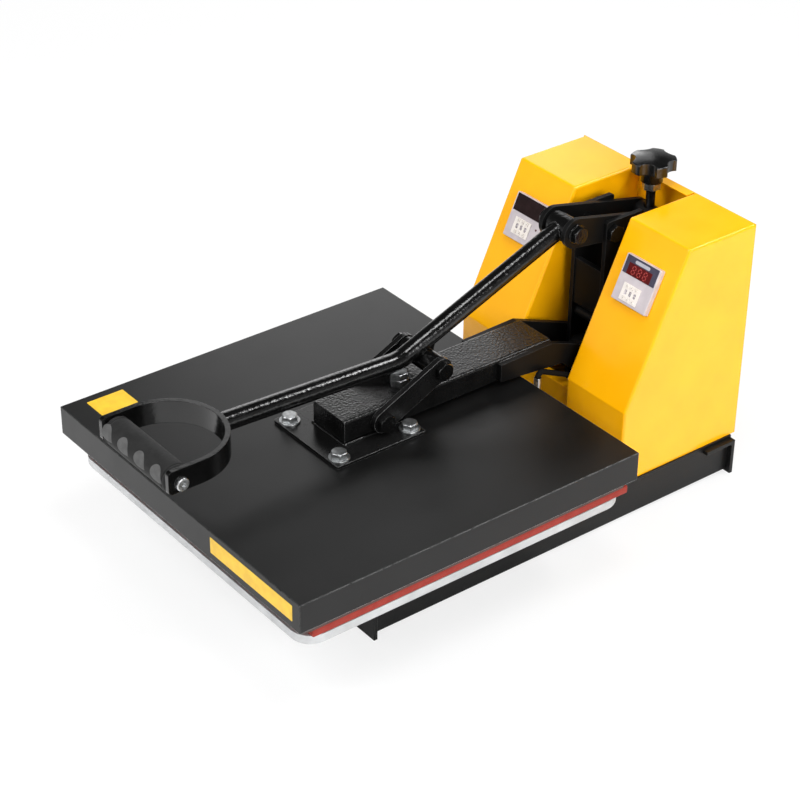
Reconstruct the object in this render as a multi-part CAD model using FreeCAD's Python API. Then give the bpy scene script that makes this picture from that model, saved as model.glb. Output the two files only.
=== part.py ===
import FreeCAD, Part
import math
import os
from FreeCAD import Placement, Rotation, Vector

# Flat clamshell heat press with 380 mm square platens, in millimetres.
# X runs to the right of someone at the handle, Y to the back, Z up.
# The sizes below are laid out from the cover's front edge at Y = 0 and the bench at Z = 0.
# Each solid is then shifted along Y, so that the origin is the middle of the footprint.

# General clearances and sheet
SHEET = 1.2              # folded steel of the yellow housings
FIT = 0.05               # radial clearance of every pin in its hole
SIDE_GAP = 0.3           # gap between plates that pass each other
BOLT_CLEARANCE = 0.5     # radial clearance of a bolt in a plain hole
REST_GAP = 0.2           # gap between the hot plate and the pad at rest
CORNER_SLACK = 1 - math.sqrt(0.5)  # of a radius, from a square corner's side to its arc's middle

# Base frame
BAR_LEG = 40.0           # angle iron leg, cross bars
BAR_WALL = 4.0
BAR_OVERHANG = 6.4       # how far the cross bars stand out past the rails
RAIL_LEG = 37.0          # angle iron leg, side rails
RAIL_OUT = 128.4         # outer face of a rail
FRAME_AHEAD = 67.6       # from the cover's middle forward to the front cross bar
FRAME_INSET = 6.7        # from the rear panel forward to the rear cross bar
ANGLE_ROOT = 3.0         # root radius inside an angle iron
CHASSIS_THICK = 3.0
CHASSIS_FOLD = 22.0      # depth of the fold at the front edge of the chassis plate
FOLD_GAP = 1.0           # from that fold to the rails' flanges

# Lower platen and silicone pad
PLATEN = 380.0           # side of the square platens
BEARER_HEIGHT = 38.5
BEARER_WIDTH = 40.0
BEARER_WALL = 3.0
BEARER_PITCH = 190.0     # between the two bearers under the lower platen
BEARER_SHIFT = 30.0      # they lie this far behind the platen's middle
LOWER_THICK = 11.3
LOWER_CORNER = 22.0
LOWER_EDGE = 4.0         # rounding under the edge of the lower platen
PAD_THICK = 8.0
PAD_SHIFT = 2.5          # the pad lies a little further back than the platen
PAD_CORNER = 2.0
PLATEN_BOLT_X = 75.0
PLATEN_BOLT_R = 4.0      # M8
PLATEN_BOLT_ACROSS = 13.0
PLATEN_BOLT_HEAD = 5.3
PLATEN_BOLT_COVER = 4.0  # metal left above the end of a bolt
DRILL_TIP = 0.5          # a blind hole goes this much past its bolt

# Cover and hot plate
COVER_WALL = 1.5
COVER_FOLD = 1.0         # outside radius of the cover's folds
COVER_HEIGHT = 30.4
COVER_SIDE_ROOM = 10.0   # from the platen's edge out to the cover's face
COVER_FRONT_ROOM = 12.0
COVER_REAR_ROOM = 4.0
HOT_THICK = 14.0
HOT_CORNER = 6.0
ELEMENT_R = 4.0
ELEMENT_PITCH = 50.0
ELEMENT_RUNS = 6
ELEMENT_MARGIN = 50.0
BOSS_R = 10.0
BOSS_HEIGHT = 26.9       # from the hot plate up to the underside of the cover
BLANKET_THICK = 20.0
BLANKET_INSET = 9.0
BLANKET_REAR_INSET = 22.0
BLANKET_GAP = 1.0        # room over the element and round the bosses

# Mounting plate and its bolts
MOUNT_HALF_WIDTH = 52.0
MOUNT_AHEAD = 48.0       # from the cover's middle forward to the plate's front edge
MOUNT_LENGTH = 105.0
MOUNT_THICK = 3.0
MOUNT_CORNER = 2.0
MOUNT_BOLT_IN = 12.0     # from the plate's sides in to the bolts
MOUNT_BOLT_HALF_PITCH = 42.0
BOLT_R = 5.0             # M10
BOLT_ACROSS = 17.0
BOLT_HEAD = 6.4
BOLT_BITE = 8.0          # how far a mounting bolt goes into the hot plate
WASHER_R = 10.5
WASHER_THICK = 2.0
LEVEL_BOLT_BEHIND = 7.5  # behind the mounting plate
LEVEL_NUT = 7.5
LEVEL_HEAD_ACROSS = 16.0
LEVEL_GAP = 0.1          # under the levelling bolt's tip

# Arm, yoke and main pivot
ARM_HALF_WIDTH = 25.0
ARM_HEIGHT = 25.0
ARM_WALL = 3.0
ARM_CORNER = 3.0
ARM_SETBACK = 28.0       # from the mounting plate's front edge to the tube's end
ARM_TO_PIVOT = 79.0      # from the tube's rear end to the main pivot
SLEEVE_WALL = 3.0
PIVOT_BEHIND = 118.0     # from the cover's rear edge back to the main pivot
YOKE_THICK = 6.0
YOKE_EYE = 24.0
YOKE_OVERLAP = 69.0      # length of the yoke plates along the tube
YOKE_EDGE = 3.0          # how far the yoke keeps below and above the tube's edges
YOKE_TOP_IN = (2.0, 1.0)     # upper corner of a yoke plate, in from the tube's end and top
YOKE_NECK_AT = (13.0, -4.4)  # narrowest point below, from the lower corner of the tube's end
YOKE_BELLY_AT = (-14.0, -1.9)
AXLE_R = 8.0
AXLE_HEAD = 6.0
AXLE_ACROSS = 24.0
AXLE_PLAY = 0.2
AXLE_TIP = 0.5           # end of the axle past its ring
CLIP_LEDGE = 3.5         # retaining ring, outside the axle
CLIP_THICK = 1.2
BARREL_WALL = 8.0

# Uprights
UPRIGHT_THICK = 5.0
UPRIGHT_AHEAD = 10.7     # from the main pivot forward to their front edge
UPRIGHT_WIDTH = 50.0
UPRIGHT_OVER = 12.7      # from the rocker's pivot up to their top edge
UPRIGHT_CORNER = 3.0
STOP_PLATE_RISE = 58.0   # from the main pivot up to the stop plate
STOP_PLATE_HEIGHT = 51.0
STOP_PLATE_THICK = 6.0
STOP_PLATE_SETBACK = 1.5
TIE_BAR_AT = (-2.0, 46.0)    # from the main pivot
TIE_BAR_R = 5.0
BACK_TIE_RISE = 17.0     # from the chassis plate up to the back plate
BACK_TIE_TOP = 80.0      # from the main pivot up to its top edge
BACK_TIE_THICK = 6.0
BACK_TIE_SETBACK = 1.0

# Toggle: lever, link and rocker
COLUMN_RISE = 154.8      # from the main pivot up to the rocker's pivot
COLUMN_LEAN = -1.7       # and along Y
LEVER_PIVOT_AT = (-45.0, 10.2)   # from the rocker's pivot
NUT_PIVOT_AT = (73.1, -11.4)
LINK_AHEAD = 34.0        # from the mounting plate's rear edge forward to the link's pivot
KNEE_AT = (69.5, 32.4)   # from the link's pivot
LINK_THICK = 6.0
LINK_EYE = 12.0
LINK_PIN_R = 6.0
LINK_HEAD_ACROSS = 17.0
LINK_HEAD = 6.4
ROCKER_THICK = 5.0
ROCKER_EYE = 15.8
ROCKER_TAIL = 10.5
ROCKER_PIN_R = 6.0
LEVER_R = 9.5
LEVER_WALL = 2.0
LEVER_BEND_AT = (-28.5, 5.9)     # from the knee
LEVER_BEND_R = 45.0
LEVER_DROOP = 8.6        # from the bend up to the tube's front end
LEVER_COPE = 3.0         # how far the tube's end is cut round the handle's strip
LEVER_RISE = 1.6         # the tube's centre line above the middle of its rear boss
LEVER_PIN_R = 7.0
LEVER_BOSS_R = 13.0
KNEE_BOSS_R = 11.0
KNEE_PLAY = 0.1
GUSSET_HALF = 4.0
GUSSET_LOW = (9.0, 4.0)      # the gusset's feet, from the knee out and down
GUSSET_FRONT = (20.0, 3.0)   # its front end ahead of the knee, and inside the tube
GUSSET_REAR = (14.0, 15.0)

# Handle
LOOP_R = 55.0            # centre line of the bent strip
LOOP_STRIP = 5.0
LOOP_HEIGHT = 23.5
LOOP_MID_Y = -2.0
LOOP_RISE = 0.6          # the strip's middle above the tube's end
LOOP_LEG = 35.5          # straight front part of the strip
LOOP_END_R = 4.0
GRIP_BEHIND = 13.7       # from the strip's front ends back to the grip
GRIP_DROP = 3.8          # the grip's axis below the strip's middle
GRIP_R = 15.0
GRIP_END = 3.0
HANDLE_SCREW_R = 4.0
HANDLE_HEAD_R = 6.5
HANDLE_HEAD = 3.0
HANDLE_CROWN = 1.2       # rounding of the screw's head
HANDLE_SOCKET = 4.4
SOCKET_DEPTH = 1.6

# Pressure screw and knob
SCREW_R = 5.0
SCREW_PLAY = 0.45        # room for the rocker's arc between screw and nut
BARREL_NUT_R = 9.5
BARREL_NUT_PIN_R = 5.0
ANVIL_DROP = 39.4        # from the nut's pivot down to the shelf
ANVIL_THICK = 10.0
ANVIL_BEHIND = 15.6      # from the nut's pivot back to the shelf's edge
ANVIL_GUSSET = 40.0
ANVIL_GUSSET_THICK = 5.0
ANVIL_GUSSET_IN = 6.0
SEAT_DEPTH = 3.0
SEAT_ROOM = 0.6
SEAT_GAP = 0.1           # under the screw's tip
JAM_RISE = 29.0          # from the nut's pivot up to the jam nut
JAM_HEIGHT = 8.2
JAM_ACROSS = 17.0
HUB_R = 11.3
HUB_HEIGHT = 13.8
HUB_BITE = 1.0           # the hub goes this far up into the knob
STAR_R = 24.0
STAR_HEIGHT = 14.4
STAR_LOBES = 5
STAR_SCALLOP_R = 11.0
STAR_SCALLOP_AT = 29.0
STAR_TURN = 16.0
STAR_RIM = 10.0          # height of the lobes' outer faces
STAR_ROUND = 1.5
SCREW_TOP_IN = 2.0       # the screw ends this far below the knob's underside
SCREW_TOP_GAP = 0.5

# Yellow housings
WELL_ROOM = 9.0          # from the yoke out to the inner wall of a housing
TOWER_INSET = 1.9        # from the rail's outer face in to the housing's
TOWER_AHEAD = 68.0       # from the main pivot forward to the front wall
TOWER_KNEE_RISE = 83.3   # from the chassis plate up to the fold
TOWER_SLOPE_RUN = 72.7   # how far the slanted face leans back
TOWER_OVER = 9.0         # from the top of the uprights up to the housing's top
TOWER_BEHIND = 6.8       # from the anvil back to the rear panel's face
TOWER_BEND = 3.0
TOWER_FLANGE = 12.0
SILL_SETBACK = 4.0
SILL_RISE = 1.0          # the sill's top above the main pivot
SILL_FLANGE = 13.0
PANEL_LIP = 10.0
PANEL_GAP = 0.2          # between the panel's lip and the housings
LOUVRE_LENGTH = 46.0
LOUVRE_HEIGHT = 4.0
LOUVRE_PITCH = 11.0
LOUVRE_COUNT = 7
LOUVRE_DOWN = 110.5      # from the panel's top edge down to the lowest louvre
PANEL_SCREW_R = 2.0
PANEL_SCREW_HEAD_R = 3.8
PANEL_SCREW_HEAD = 1.8
PANEL_SCREW_LOW = 14.0
PANEL_SCREW_HIGH = 16.0

# Controllers, in the slanted faces
CONTROL_UP = 121.3       # from the knee up the slope to the middle of a controller
CASE = 44.8
CASE_DEPTH = 62.0
CUTOUT_GAP = 0.3
BEZEL_LAP = 1.6          # how far the bezel reaches past the case
BEZEL_PROUD = 6.0
BEZEL_ROUND = 1.0
WINDOW_FRAME = 1.7       # bezel left beside the window
WINDOW_LOW = 4.6
WINDOW_HIGH = 23.2
WINDOW_DEPTH = 1.5
WINDOW_GAP = 0.2
WINDOW_SUNK = 0.1
DIAL_X = -1.6
DIAL_MID = {-1: -8.9, 1: -11.9}  # middle of the setting block, left and right
DIAL_WIDTH = 24.0
DIAL_HEIGHT = 17.8
DIAL_PROUD = 0.8
DIGIT_PITCH = 6.3
DIGIT_WIDTH = 3.2
DIGIT_HEIGHT = 5.0
DIGIT_DEPTH = 0.5
KEY_ROW = 6.2            # from the digits to the keys above and below
KEY_WIDTH = 3.4
KEY_HEIGHT = 3.0
KEY_GAP = 0.15
KEY_DEPTH = 4.4
KEY_PROUD = 0.8
KEY_TRAVEL = 0.7
KEY_FLOOR = 0.3          # room left under a pressed key
KEY_ROUND = 0.3

# Rear panel fittings
FITTING_RISE = 49.0      # from the chassis plate up to the switch and the inlet
SWITCH_WIDTH = 21.0
SWITCH_HEIGHT = 30.0
SWITCH_RIM = 2.0
SWITCH_PROUD = 1.5
SWITCH_DEPTH = 16.0
SWITCH_WELL = 9.0
SWITCH_WALL = 1.5
SWITCH_GAP = 0.2         # round the frame in its hole
SWITCH_TILT = 9.0        # lean of the rocker to either side
SWITCH_PIN_IN = 1.5      # the rocker's pin lies this far inside the panel's front face
SWITCH_PIN_R = 1.2
SWITCH_FACE = 2.6        # height of the rocker's two ends above that face, when level
SWITCH_DISH = 1.6        # hollow in the middle of the rocker's face
SWITCH_TIP_THICK = 2.4
SWITCH_KEEL = (4.0, 5.0)     # depth and half height of the rocker's keel
SWITCH_SIDE_GAP = 0.6    # between the rocker and the frame's inside
INLET_WIDTH = 50.0
INLET_HEIGHT = 28.0
INLET_LAP = 2.0          # flange of the inlet past its hole
INLET_PROUD = 2.0
INLET_DEPTH = 24.0
INLET_GAP = 0.2
INLET_WELL = (26.0, 20.0, 16.0)  # width, height and depth
INLET_WELL_IN = 5.0      # from the flange's edge to the well
INLET_WELL_CORNER = 3.0
BLADE_PITCH = 7.0
BLADE = (2.0, 4.0)       # width and height
BLADE_RAISE = 5.0        # the middle blade stands this much higher
BLADE_TIP_IN = 2.0
DRAWER_WIDTH = 12.0
DRAWER_IN = 3.0
DRAWER_DEPTH = 0.8

# Heater lead
LEAD_R = 2.9
LEAD_BESIDE = 3.8        # from the housing's inner wall to the middle of the lead
LEAD_FITTING_BEHIND = 14.0   # right-angled fitting, behind the cover
LEAD_FITTING_Z = 16.4    # its level branch, below the cover's top
LEAD_FERRULE = 14.0      # from that branch up to the ferrule's mouth
LEAD_FERRULE_WALL = 0.9
LEAD_LOOP = 8.0          # the lead turns over this high above the mouth
LEAD_TURN_R = 5.0
LEAD_BEND_R = 60.0
LEAD_TAIL_TURN = (40.0, -4.0)    # from the main pivot, along Y and Z
LEAD_TAIL_END = (24.0, 70.0, -6.0)   # inside the housing: from its inner wall, and from the pivot
LEAD_TAIL_R = 30.0
LEAD_SPLIT = 2.6         # half the gap at the hinge axis, where the lead flexes
LEAD_HOLE_AT = (43.9, -4.3)  # middle of the hole in the right housing, from the main pivot
LEAD_HOLE_R = 8.6
GLAND_ACROSS = 14.0
GLAND_NUT = 4.0
GLAND_BACK = 4.0         # thread inside the cover

# Worked out from the sizes above
PLATEN_FRONT = COVER_FRONT_ROOM
PLATEN_REAR = PLATEN_FRONT + PLATEN
PLATEN_MID = (PLATEN_FRONT + PLATEN_REAR) / 2
COVER_WIDTH = PLATEN + 2 * COVER_SIDE_ROOM
COVER_DEPTH = PLATEN_REAR + COVER_REAR_ROOM
COVER_MID = COVER_DEPTH / 2
FRAME_TOP = BAR_LEG + CHASSIS_THICK
LOWER_BOTTOM = BAR_LEG + BEARER_HEIGHT
PAD_BOTTOM = LOWER_BOTTOM + LOWER_THICK
PAD_TOP = PAD_BOTTOM + PAD_THICK
HOT_BOTTOM = PAD_TOP + REST_GAP
HOT_TOP = HOT_BOTTOM + HOT_THICK
COVER_TOP = HOT_TOP + BOSS_HEIGHT + COVER_WALL
COVER_BOTTOM = COVER_TOP - COVER_HEIGHT
MOUNT_TOP = COVER_TOP + MOUNT_THICK
ARM_TOP = MOUNT_TOP + ARM_HEIGHT
MOUNT_FRONT = COVER_MID - MOUNT_AHEAD
MOUNT_BACK = MOUNT_FRONT + MOUNT_LENGTH
MOUNT_MID = (MOUNT_FRONT + MOUNT_BACK) / 2
MOUNT_BOLT_X = MOUNT_HALF_WIDTH - MOUNT_BOLT_IN
LEVEL_BOLT_Y = MOUNT_BACK + LEVEL_BOLT_BEHIND
MAIN_PIVOT = (COVER_DEPTH + PIVOT_BEHIND, COVER_BOTTOM)
ROCKER_PIVOT = (MAIN_PIVOT[0] + COLUMN_LEAN, MAIN_PIVOT[1] + COLUMN_RISE)
LEVER_PIVOT = (ROCKER_PIVOT[0] + LEVER_PIVOT_AT[0], ROCKER_PIVOT[1] + LEVER_PIVOT_AT[1])
NUT_PIVOT = (ROCKER_PIVOT[0] + NUT_PIVOT_AT[0], ROCKER_PIVOT[1] + NUT_PIVOT_AT[1])
LINK_PIVOT = (MOUNT_BACK - LINK_AHEAD, ARM_TOP - ARM_HEIGHT / 2)
KNEE_PIVOT = (LINK_PIVOT[0] + KNEE_AT[0], LINK_PIVOT[1] + KNEE_AT[1])
LEVER_BEND = (KNEE_PIVOT[0] + LEVER_BEND_AT[0], KNEE_PIVOT[1] + LEVER_BEND_AT[1])
LEVER_FRONT_Z = LEVER_BEND[1] + LEVER_DROOP
LOOP_MID_Z = LEVER_FRONT_Z + LOOP_RISE
LOOP_OUTER = LOOP_R + LOOP_STRIP / 2
LOOP_INNER = LOOP_R - LOOP_STRIP / 2
LOOP_FRONT = LOOP_MID_Y - LOOP_LEG
GRIP_AT = (LOOP_FRONT + GRIP_BEHIND, LOOP_MID_Z - GRIP_DROP)
ARM_FRONT = MOUNT_FRONT + ARM_SETBACK
ARM_BACK = MAIN_PIVOT[0] - ARM_TO_PIVOT
YOKE_IN = ARM_HALF_WIDTH
YOKE_OUT = YOKE_IN + YOKE_THICK
UPRIGHT_OUT = YOKE_IN - SIDE_GAP
UPRIGHT_IN = UPRIGHT_OUT - UPRIGHT_THICK
UPRIGHT_FRONT = MAIN_PIVOT[0] - UPRIGHT_AHEAD
UPRIGHT_BACK = UPRIGHT_FRONT + UPRIGHT_WIDTH
UPRIGHT_TOP = ROCKER_PIVOT[1] + UPRIGHT_OVER
ROCKER_OUT = UPRIGHT_IN - SIDE_GAP
ROCKER_IN = ROCKER_OUT - ROCKER_THICK
LINK_IN = ARM_HALF_WIDTH + SIDE_GAP
LINK_OUT = LINK_IN + LINK_THICK
LEVER_BOSS_HALF = ROCKER_IN - SIDE_GAP
KNEE_BOSS_HALF = LINK_IN - SIDE_GAP
ANVIL_TOP = NUT_PIVOT[1] - ANVIL_DROP
ANVIL_BACK = NUT_PIVOT[0] + ANVIL_BEHIND
JAM_LOW = NUT_PIVOT[1] + JAM_RISE
JAM_TOP = JAM_LOW + JAM_HEIGHT
HUB_TOP = JAM_TOP + HUB_HEIGHT
STAR_TOP = HUB_TOP + STAR_HEIGHT
SCREW_TOP = HUB_TOP - SCREW_TOP_IN
TOWER_IN = YOKE_OUT + WELL_ROOM
TOWER_OUT = RAIL_OUT - TOWER_INSET
TOWER_MID = (TOWER_IN + TOWER_OUT) / 2
TOWER_FRONT = MAIN_PIVOT[0] - TOWER_AHEAD
TOWER_KNEE = FRAME_TOP + TOWER_KNEE_RISE
TOWER_TOP = UPRIGHT_TOP + TOWER_OVER
SLOPE = math.hypot(TOWER_SLOPE_RUN, TOWER_TOP - TOWER_KNEE)
SLOPE_ALONG = (TOWER_SLOPE_RUN / SLOPE, (TOWER_TOP - TOWER_KNEE) / SLOPE)
PANEL_BACK = ANVIL_BACK + TOWER_BEHIND
PANEL_FRONT = PANEL_BACK - SHEET
SILL_FRONT = TOWER_FRONT + SILL_SETBACK
SILL_TOP = MAIN_PIVOT[1] + SILL_RISE
FRAME_FRONT = COVER_MID - FRAME_AHEAD
FRAME_BACK = PANEL_BACK - FRAME_INSET
BAR_HALF_LENGTH = RAIL_OUT + BAR_OVERHANG
BEZEL = CASE + 2 * BEZEL_LAP
WINDOW_WIDTH = BEZEL - 2 * WINDOW_FRAME
FITTING_Z = FRAME_TOP + FITTING_RISE
LEAD_SIDE_X = TOWER_IN - LEAD_BESIDE
FRONT_Y = GRIP_AT[0] - GRIP_R
SWITCH_HALF = SWITCH_HEIGHT / 2 - SWITCH_TIP_THICK - SWITCH_GAP
SWITCH_TIP = ((SWITCH_FACE + SWITCH_PIN_IN) * math.cos(math.radians(SWITCH_TILT))
              + SWITCH_HALF * math.sin(math.radians(SWITCH_TILT)) - SWITCH_PIN_IN)
BACK_Y = PANEL_FRONT + SWITCH_TIP
ORIGIN_Y = (FRONT_Y + BACK_Y) / 2


def block(x0, x1, y0, y1, z0, z1):
    """Rectangular solid between two values on each axis."""
    return Part.makeBox(x1 - x0, y1 - y0, z1 - z0, Vector(x0, y0, z0))


def rod_x(at, radius, x0, x1):
    """Cylinder along X through the point (y, z)."""
    return Part.makeCylinder(radius, x1 - x0, Vector(x0, at[0], at[1]), Vector(1, 0, 0))


def rod_y(x, z, radius, y0, y1):
    """Cylinder along Y."""
    return Part.makeCylinder(radius, y1 - y0, Vector(x, y0, z), Vector(0, 1, 0))


def rod_z(x, y, radius, z0, z1):
    """Cylinder along Z."""
    return Part.makeCylinder(radius, z1 - z0, Vector(x, y, z0))


def hexagon(across, height):
    """Hexagonal prism on Z = 0 with its top corners chamfered."""
    corner = across / math.sqrt(3)
    points = []
    for k in range(7):
        turn = math.radians(60 * k)
        points.append(Vector(corner * math.cos(turn), corner * math.sin(turn), 0))
    prism = Part.Face(Part.makePolygon(points)).extrude(Vector(0, 0, height))
    rise = (corner - across / 2) * math.tan(math.radians(30))
    body = Part.makeCylinder(corner, height - rise)
    crown = Part.makeCone(corner, across / 2, rise, Vector(0, 0, height - rise))
    return prism.common(body.fuse(crown))


def hex_up(x, y, across, z0, height):
    """Hexagon standing on the plane Z = z0."""
    return hexagon(across, height).translate(Vector(x, y, z0))


def hex_side(at, across, x0, side, height):
    """Hexagon on a plane of constant X, pointing outwards on the given side."""
    nut = hexagon(across, height)
    nut.rotate(Vector(0, 0, 0), Vector(0, 1, 0), 90 * side)
    return nut.translate(Vector(x0 * side, at[0], at[1]))


def slab_x(points, x0, x1):
    """Plate with a straight-sided outline in (y, z), between two X values."""
    corners = [Vector(x0, y, z) for y, z in points]
    corners.append(corners[0])
    return Part.Face(Part.makePolygon(corners)).extrude(Vector(x1 - x0, 0, 0))


def strap(p, q, rp, rq, x0, x1):
    """Plate whose outline is two round eyes joined by their outer tangents."""
    run = math.hypot(q[0] - p[0], q[1] - p[1])
    heading = math.atan2(q[1] - p[1], q[0] - p[0])
    spread = math.acos((rp - rq) / run)

    def on_eye(centre, radius, turn):
        return Vector(x0, centre[0] + radius * math.cos(turn), centre[1] + radius * math.sin(turn))

    p_up = on_eye(p, rp, heading + spread)
    p_back = on_eye(p, rp, heading + math.pi)
    p_low = on_eye(p, rp, heading - spread)
    q_up = on_eye(q, rq, heading + spread)
    q_front = on_eye(q, rq, heading)
    q_low = on_eye(q, rq, heading - spread)
    edges = [
        Part.Arc(p_up, p_back, p_low).toShape(),
        Part.makeLine(p_low, q_low),
        Part.Arc(q_low, q_front, q_up).toShape(),
        Part.makeLine(q_up, p_up),
    ]
    return Part.Face(Part.Wire(edges)).extrude(Vector(x1 - x0, 0, 0))


def bent_path(points, radii):
    """Straight runs through the points, joined by tangent arcs of the given radii."""
    edges = []
    start = points[0]
    for k in range(1, len(points) - 1):
        back = (points[k - 1] - points[k]).normalize()
        ahead = (points[k + 1] - points[k]).normalize()
        half = back.getAngle(ahead) / 2
        setback = radii[k - 1] / math.tan(half)
        first = points[k] + back * setback
        last = points[k] + ahead * setback
        inward = (back + ahead).normalize()
        middle = points[k] + inward * (radii[k - 1] / math.sin(half) - radii[k - 1])
        edges.append(Part.makeLine(start, first))
        edges.append(Part.Arc(first, middle, last).toShape())
        start = last
    edges.append(Part.makeLine(start, points[-1]))
    return Part.Wire(edges)


def tube_along(path, radius):
    """Round bar swept along a path."""
    first = path.Edges[0]
    heading = first.tangentAt(first.FirstParameter)
    start = first.valueAt(first.FirstParameter)
    ring = Part.Wire(Part.makeCircle(radius, start, heading))
    return path.makePipeShell([ring], True, False)


def softened(shape, radius, wanted):
    """Rounds the edges that the test picks out."""
    return shape.makeFillet(radius, [edge for edge in shape.Edges if wanted(edge)])


def runs_along(edge, axis):
    """True for a straight edge parallel to the axis."""
    if not isinstance(edge.Curve, (Part.Line, Part.LineSegment)):
        return False
    return abs(abs(edge.tangentAt(edge.FirstParameter).dot(axis)) - 1) < 1e-6


def square_plate(half_x, y0, y1, z0, z1, corner):
    """Flat plate with rounded corners in plan."""
    plate = block(-half_x, half_x, y0, y1, z0, z1)
    return softened(plate, corner, lambda edge: runs_along(edge, Vector(0, 0, 1)))


def angle_iron(leg, flange, wall, length):
    """Angle iron along X: upright leg on Y = 0, flange on top running to +Y, top at Z = 0."""
    root = ANGLE_ROOT
    bend = root * CORNER_SLACK
    inner = Vector(0, wall + bend, -wall - bend)
    edges = [
        Part.makeLine(Vector(0, 0, 0), Vector(0, 0, -leg)),
        Part.makeLine(Vector(0, 0, -leg), Vector(0, wall, -leg)),
        Part.makeLine(Vector(0, wall, -leg), Vector(0, wall, -wall - root)),
        Part.Arc(Vector(0, wall, -wall - root), inner, Vector(0, wall + root, -wall)).toShape(),
        Part.makeLine(Vector(0, wall + root, -wall), Vector(0, flange, -wall)),
        Part.makeLine(Vector(0, flange, -wall), Vector(0, flange, 0)),
        Part.makeLine(Vector(0, flange, 0), Vector(0, 0, 0)),
    ]
    return Part.Face(Part.Wire(edges)).extrude(Vector(length, 0, 0))


def tangent_point(start, centre, radius, side):
    """Point where a line from start touches a circle, on the upper (+1) or lower (-1) side."""
    run = math.hypot(centre[0] - start[0], centre[1] - start[1])
    heading = math.atan2(centre[1] - start[1], centre[0] - start[0])
    swing = heading + side * math.asin(radius / run)
    reach = math.sqrt(run * run - radius * radius)
    return (start[0] + reach * math.cos(swing), start[1] + reach * math.sin(swing))


def base_bars():
    """Front and rear cross bars, their upright legs facing outwards."""
    length = 2 * BAR_HALF_LENGTH
    front = angle_iron(BAR_LEG, BAR_LEG, BAR_WALL, length)
    rear = front.copy()
    rear.rotate(Vector(length / 2, 0, 0), Vector(0, 0, 1), 180)
    front.translate(Vector(-BAR_HALF_LENGTH, FRAME_FRONT, BAR_LEG))
    rear.translate(Vector(-BAR_HALF_LENGTH, FRAME_BACK, BAR_LEG))
    return [front, rear]


def rail(side, bars):
    """Side rail, coped so that its ends tuck under the cross bars' flanges."""
    length = FRAME_BACK - FRAME_FRONT - 2 * BAR_WALL
    iron = angle_iron(RAIL_LEG, BAR_LEG, BAR_WALL, length)
    iron.rotate(Vector(0, 0, 0), Vector(0, 0, 1), 90 * side)
    start = FRAME_FRONT + BAR_WALL if side > 0 else FRAME_BACK - BAR_WALL
    iron.translate(Vector(RAIL_OUT * side, start, BAR_LEG))
    return iron.cut(bars)


def chassis_plate():
    """Plate on the rails under the housings, with its front edge folded down."""
    low = BAR_LEG
    plate = block(-RAIL_OUT, RAIL_OUT, TOWER_FRONT, FRAME_BACK, low, FRAME_TOP)
    inside = RAIL_OUT - BAR_LEG - FOLD_GAP
    fold = block(-inside, inside, TOWER_FRONT, TOWER_FRONT + CHASSIS_THICK, low - CHASSIS_FOLD, low)
    return plate.fuse(fold).removeSplitter()


def bearer_spots():
    """Middle of each bearer along Y."""
    middle = PLATEN_MID + BEARER_SHIFT
    return [middle - BEARER_PITCH / 2, middle + BEARER_PITCH / 2]


def platen_bearers():
    """Two inverted channels that carry the lower platen on the rails."""
    bearers = []
    for mid in bearer_spots():
        y0, y1 = mid - BEARER_WIDTH / 2, mid + BEARER_WIDTH / 2
        channel = block(-RAIL_OUT + BAR_WALL, RAIL_OUT - BAR_WALL, y0, y1, BAR_LEG, LOWER_BOTTOM)
        channel = channel.cut(block(-RAIL_OUT, RAIL_OUT, y0 + BEARER_WALL, y1 - BEARER_WALL,
                                    BAR_LEG, LOWER_BOTTOM - BEARER_WALL))
        for x in (-PLATEN_BOLT_X, PLATEN_BOLT_X):
            hole = PLATEN_BOLT_R + BOLT_CLEARANCE
            channel = channel.cut(rod_z(x, mid, hole, LOWER_BOTTOM - BEARER_WALL, LOWER_BOTTOM))
        bearers.append(channel)
    return Part.makeCompound(bearers)


def platen_bolts():
    """Four bolts from inside the bearers up into the lower platen."""
    bolts = []
    for y in bearer_spots():
        for x in (-PLATEN_BOLT_X, PLATEN_BOLT_X):
            under = LOWER_BOTTOM - BEARER_WALL
            shank = rod_z(x, y, PLATEN_BOLT_R, under, PAD_BOTTOM - PLATEN_BOLT_COVER)
            head = hexagon(PLATEN_BOLT_ACROSS, PLATEN_BOLT_HEAD)
            head.rotate(Vector(0, 0, 0), Vector(1, 0, 0), 180)
            bolts.append(shank.fuse(head.translate(Vector(x, y, under))))
    return Part.makeCompound(bolts)


def lower_platen():
    """Cast lower platen with round corners, rounded under its edge."""
    y0, y1 = PLATEN_FRONT, PLATEN_REAR
    slab = square_plate(PLATEN / 2, y0, y1, LOWER_BOTTOM, PAD_BOTTOM, LOWER_CORNER)
    slab = softened(slab, LOWER_EDGE, lambda edge: edge.BoundBox.ZMax < LOWER_BOTTOM + 0.1)
    for y in bearer_spots():
        for x in (-PLATEN_BOLT_X, PLATEN_BOLT_X):
            end = PAD_BOTTOM - PLATEN_BOLT_COVER + DRILL_TIP
            slab = slab.cut(rod_z(x, y, PLATEN_BOLT_R + FIT, LOWER_BOTTOM, end))
    return slab


def silicone_pad():
    """Silicone foam pad on the lower platen."""
    half = PLATEN / 2
    mid = PLATEN_MID + PAD_SHIFT
    return square_plate(half, mid - half, mid + half, PAD_BOTTOM, PAD_TOP, PAD_CORNER)


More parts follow.
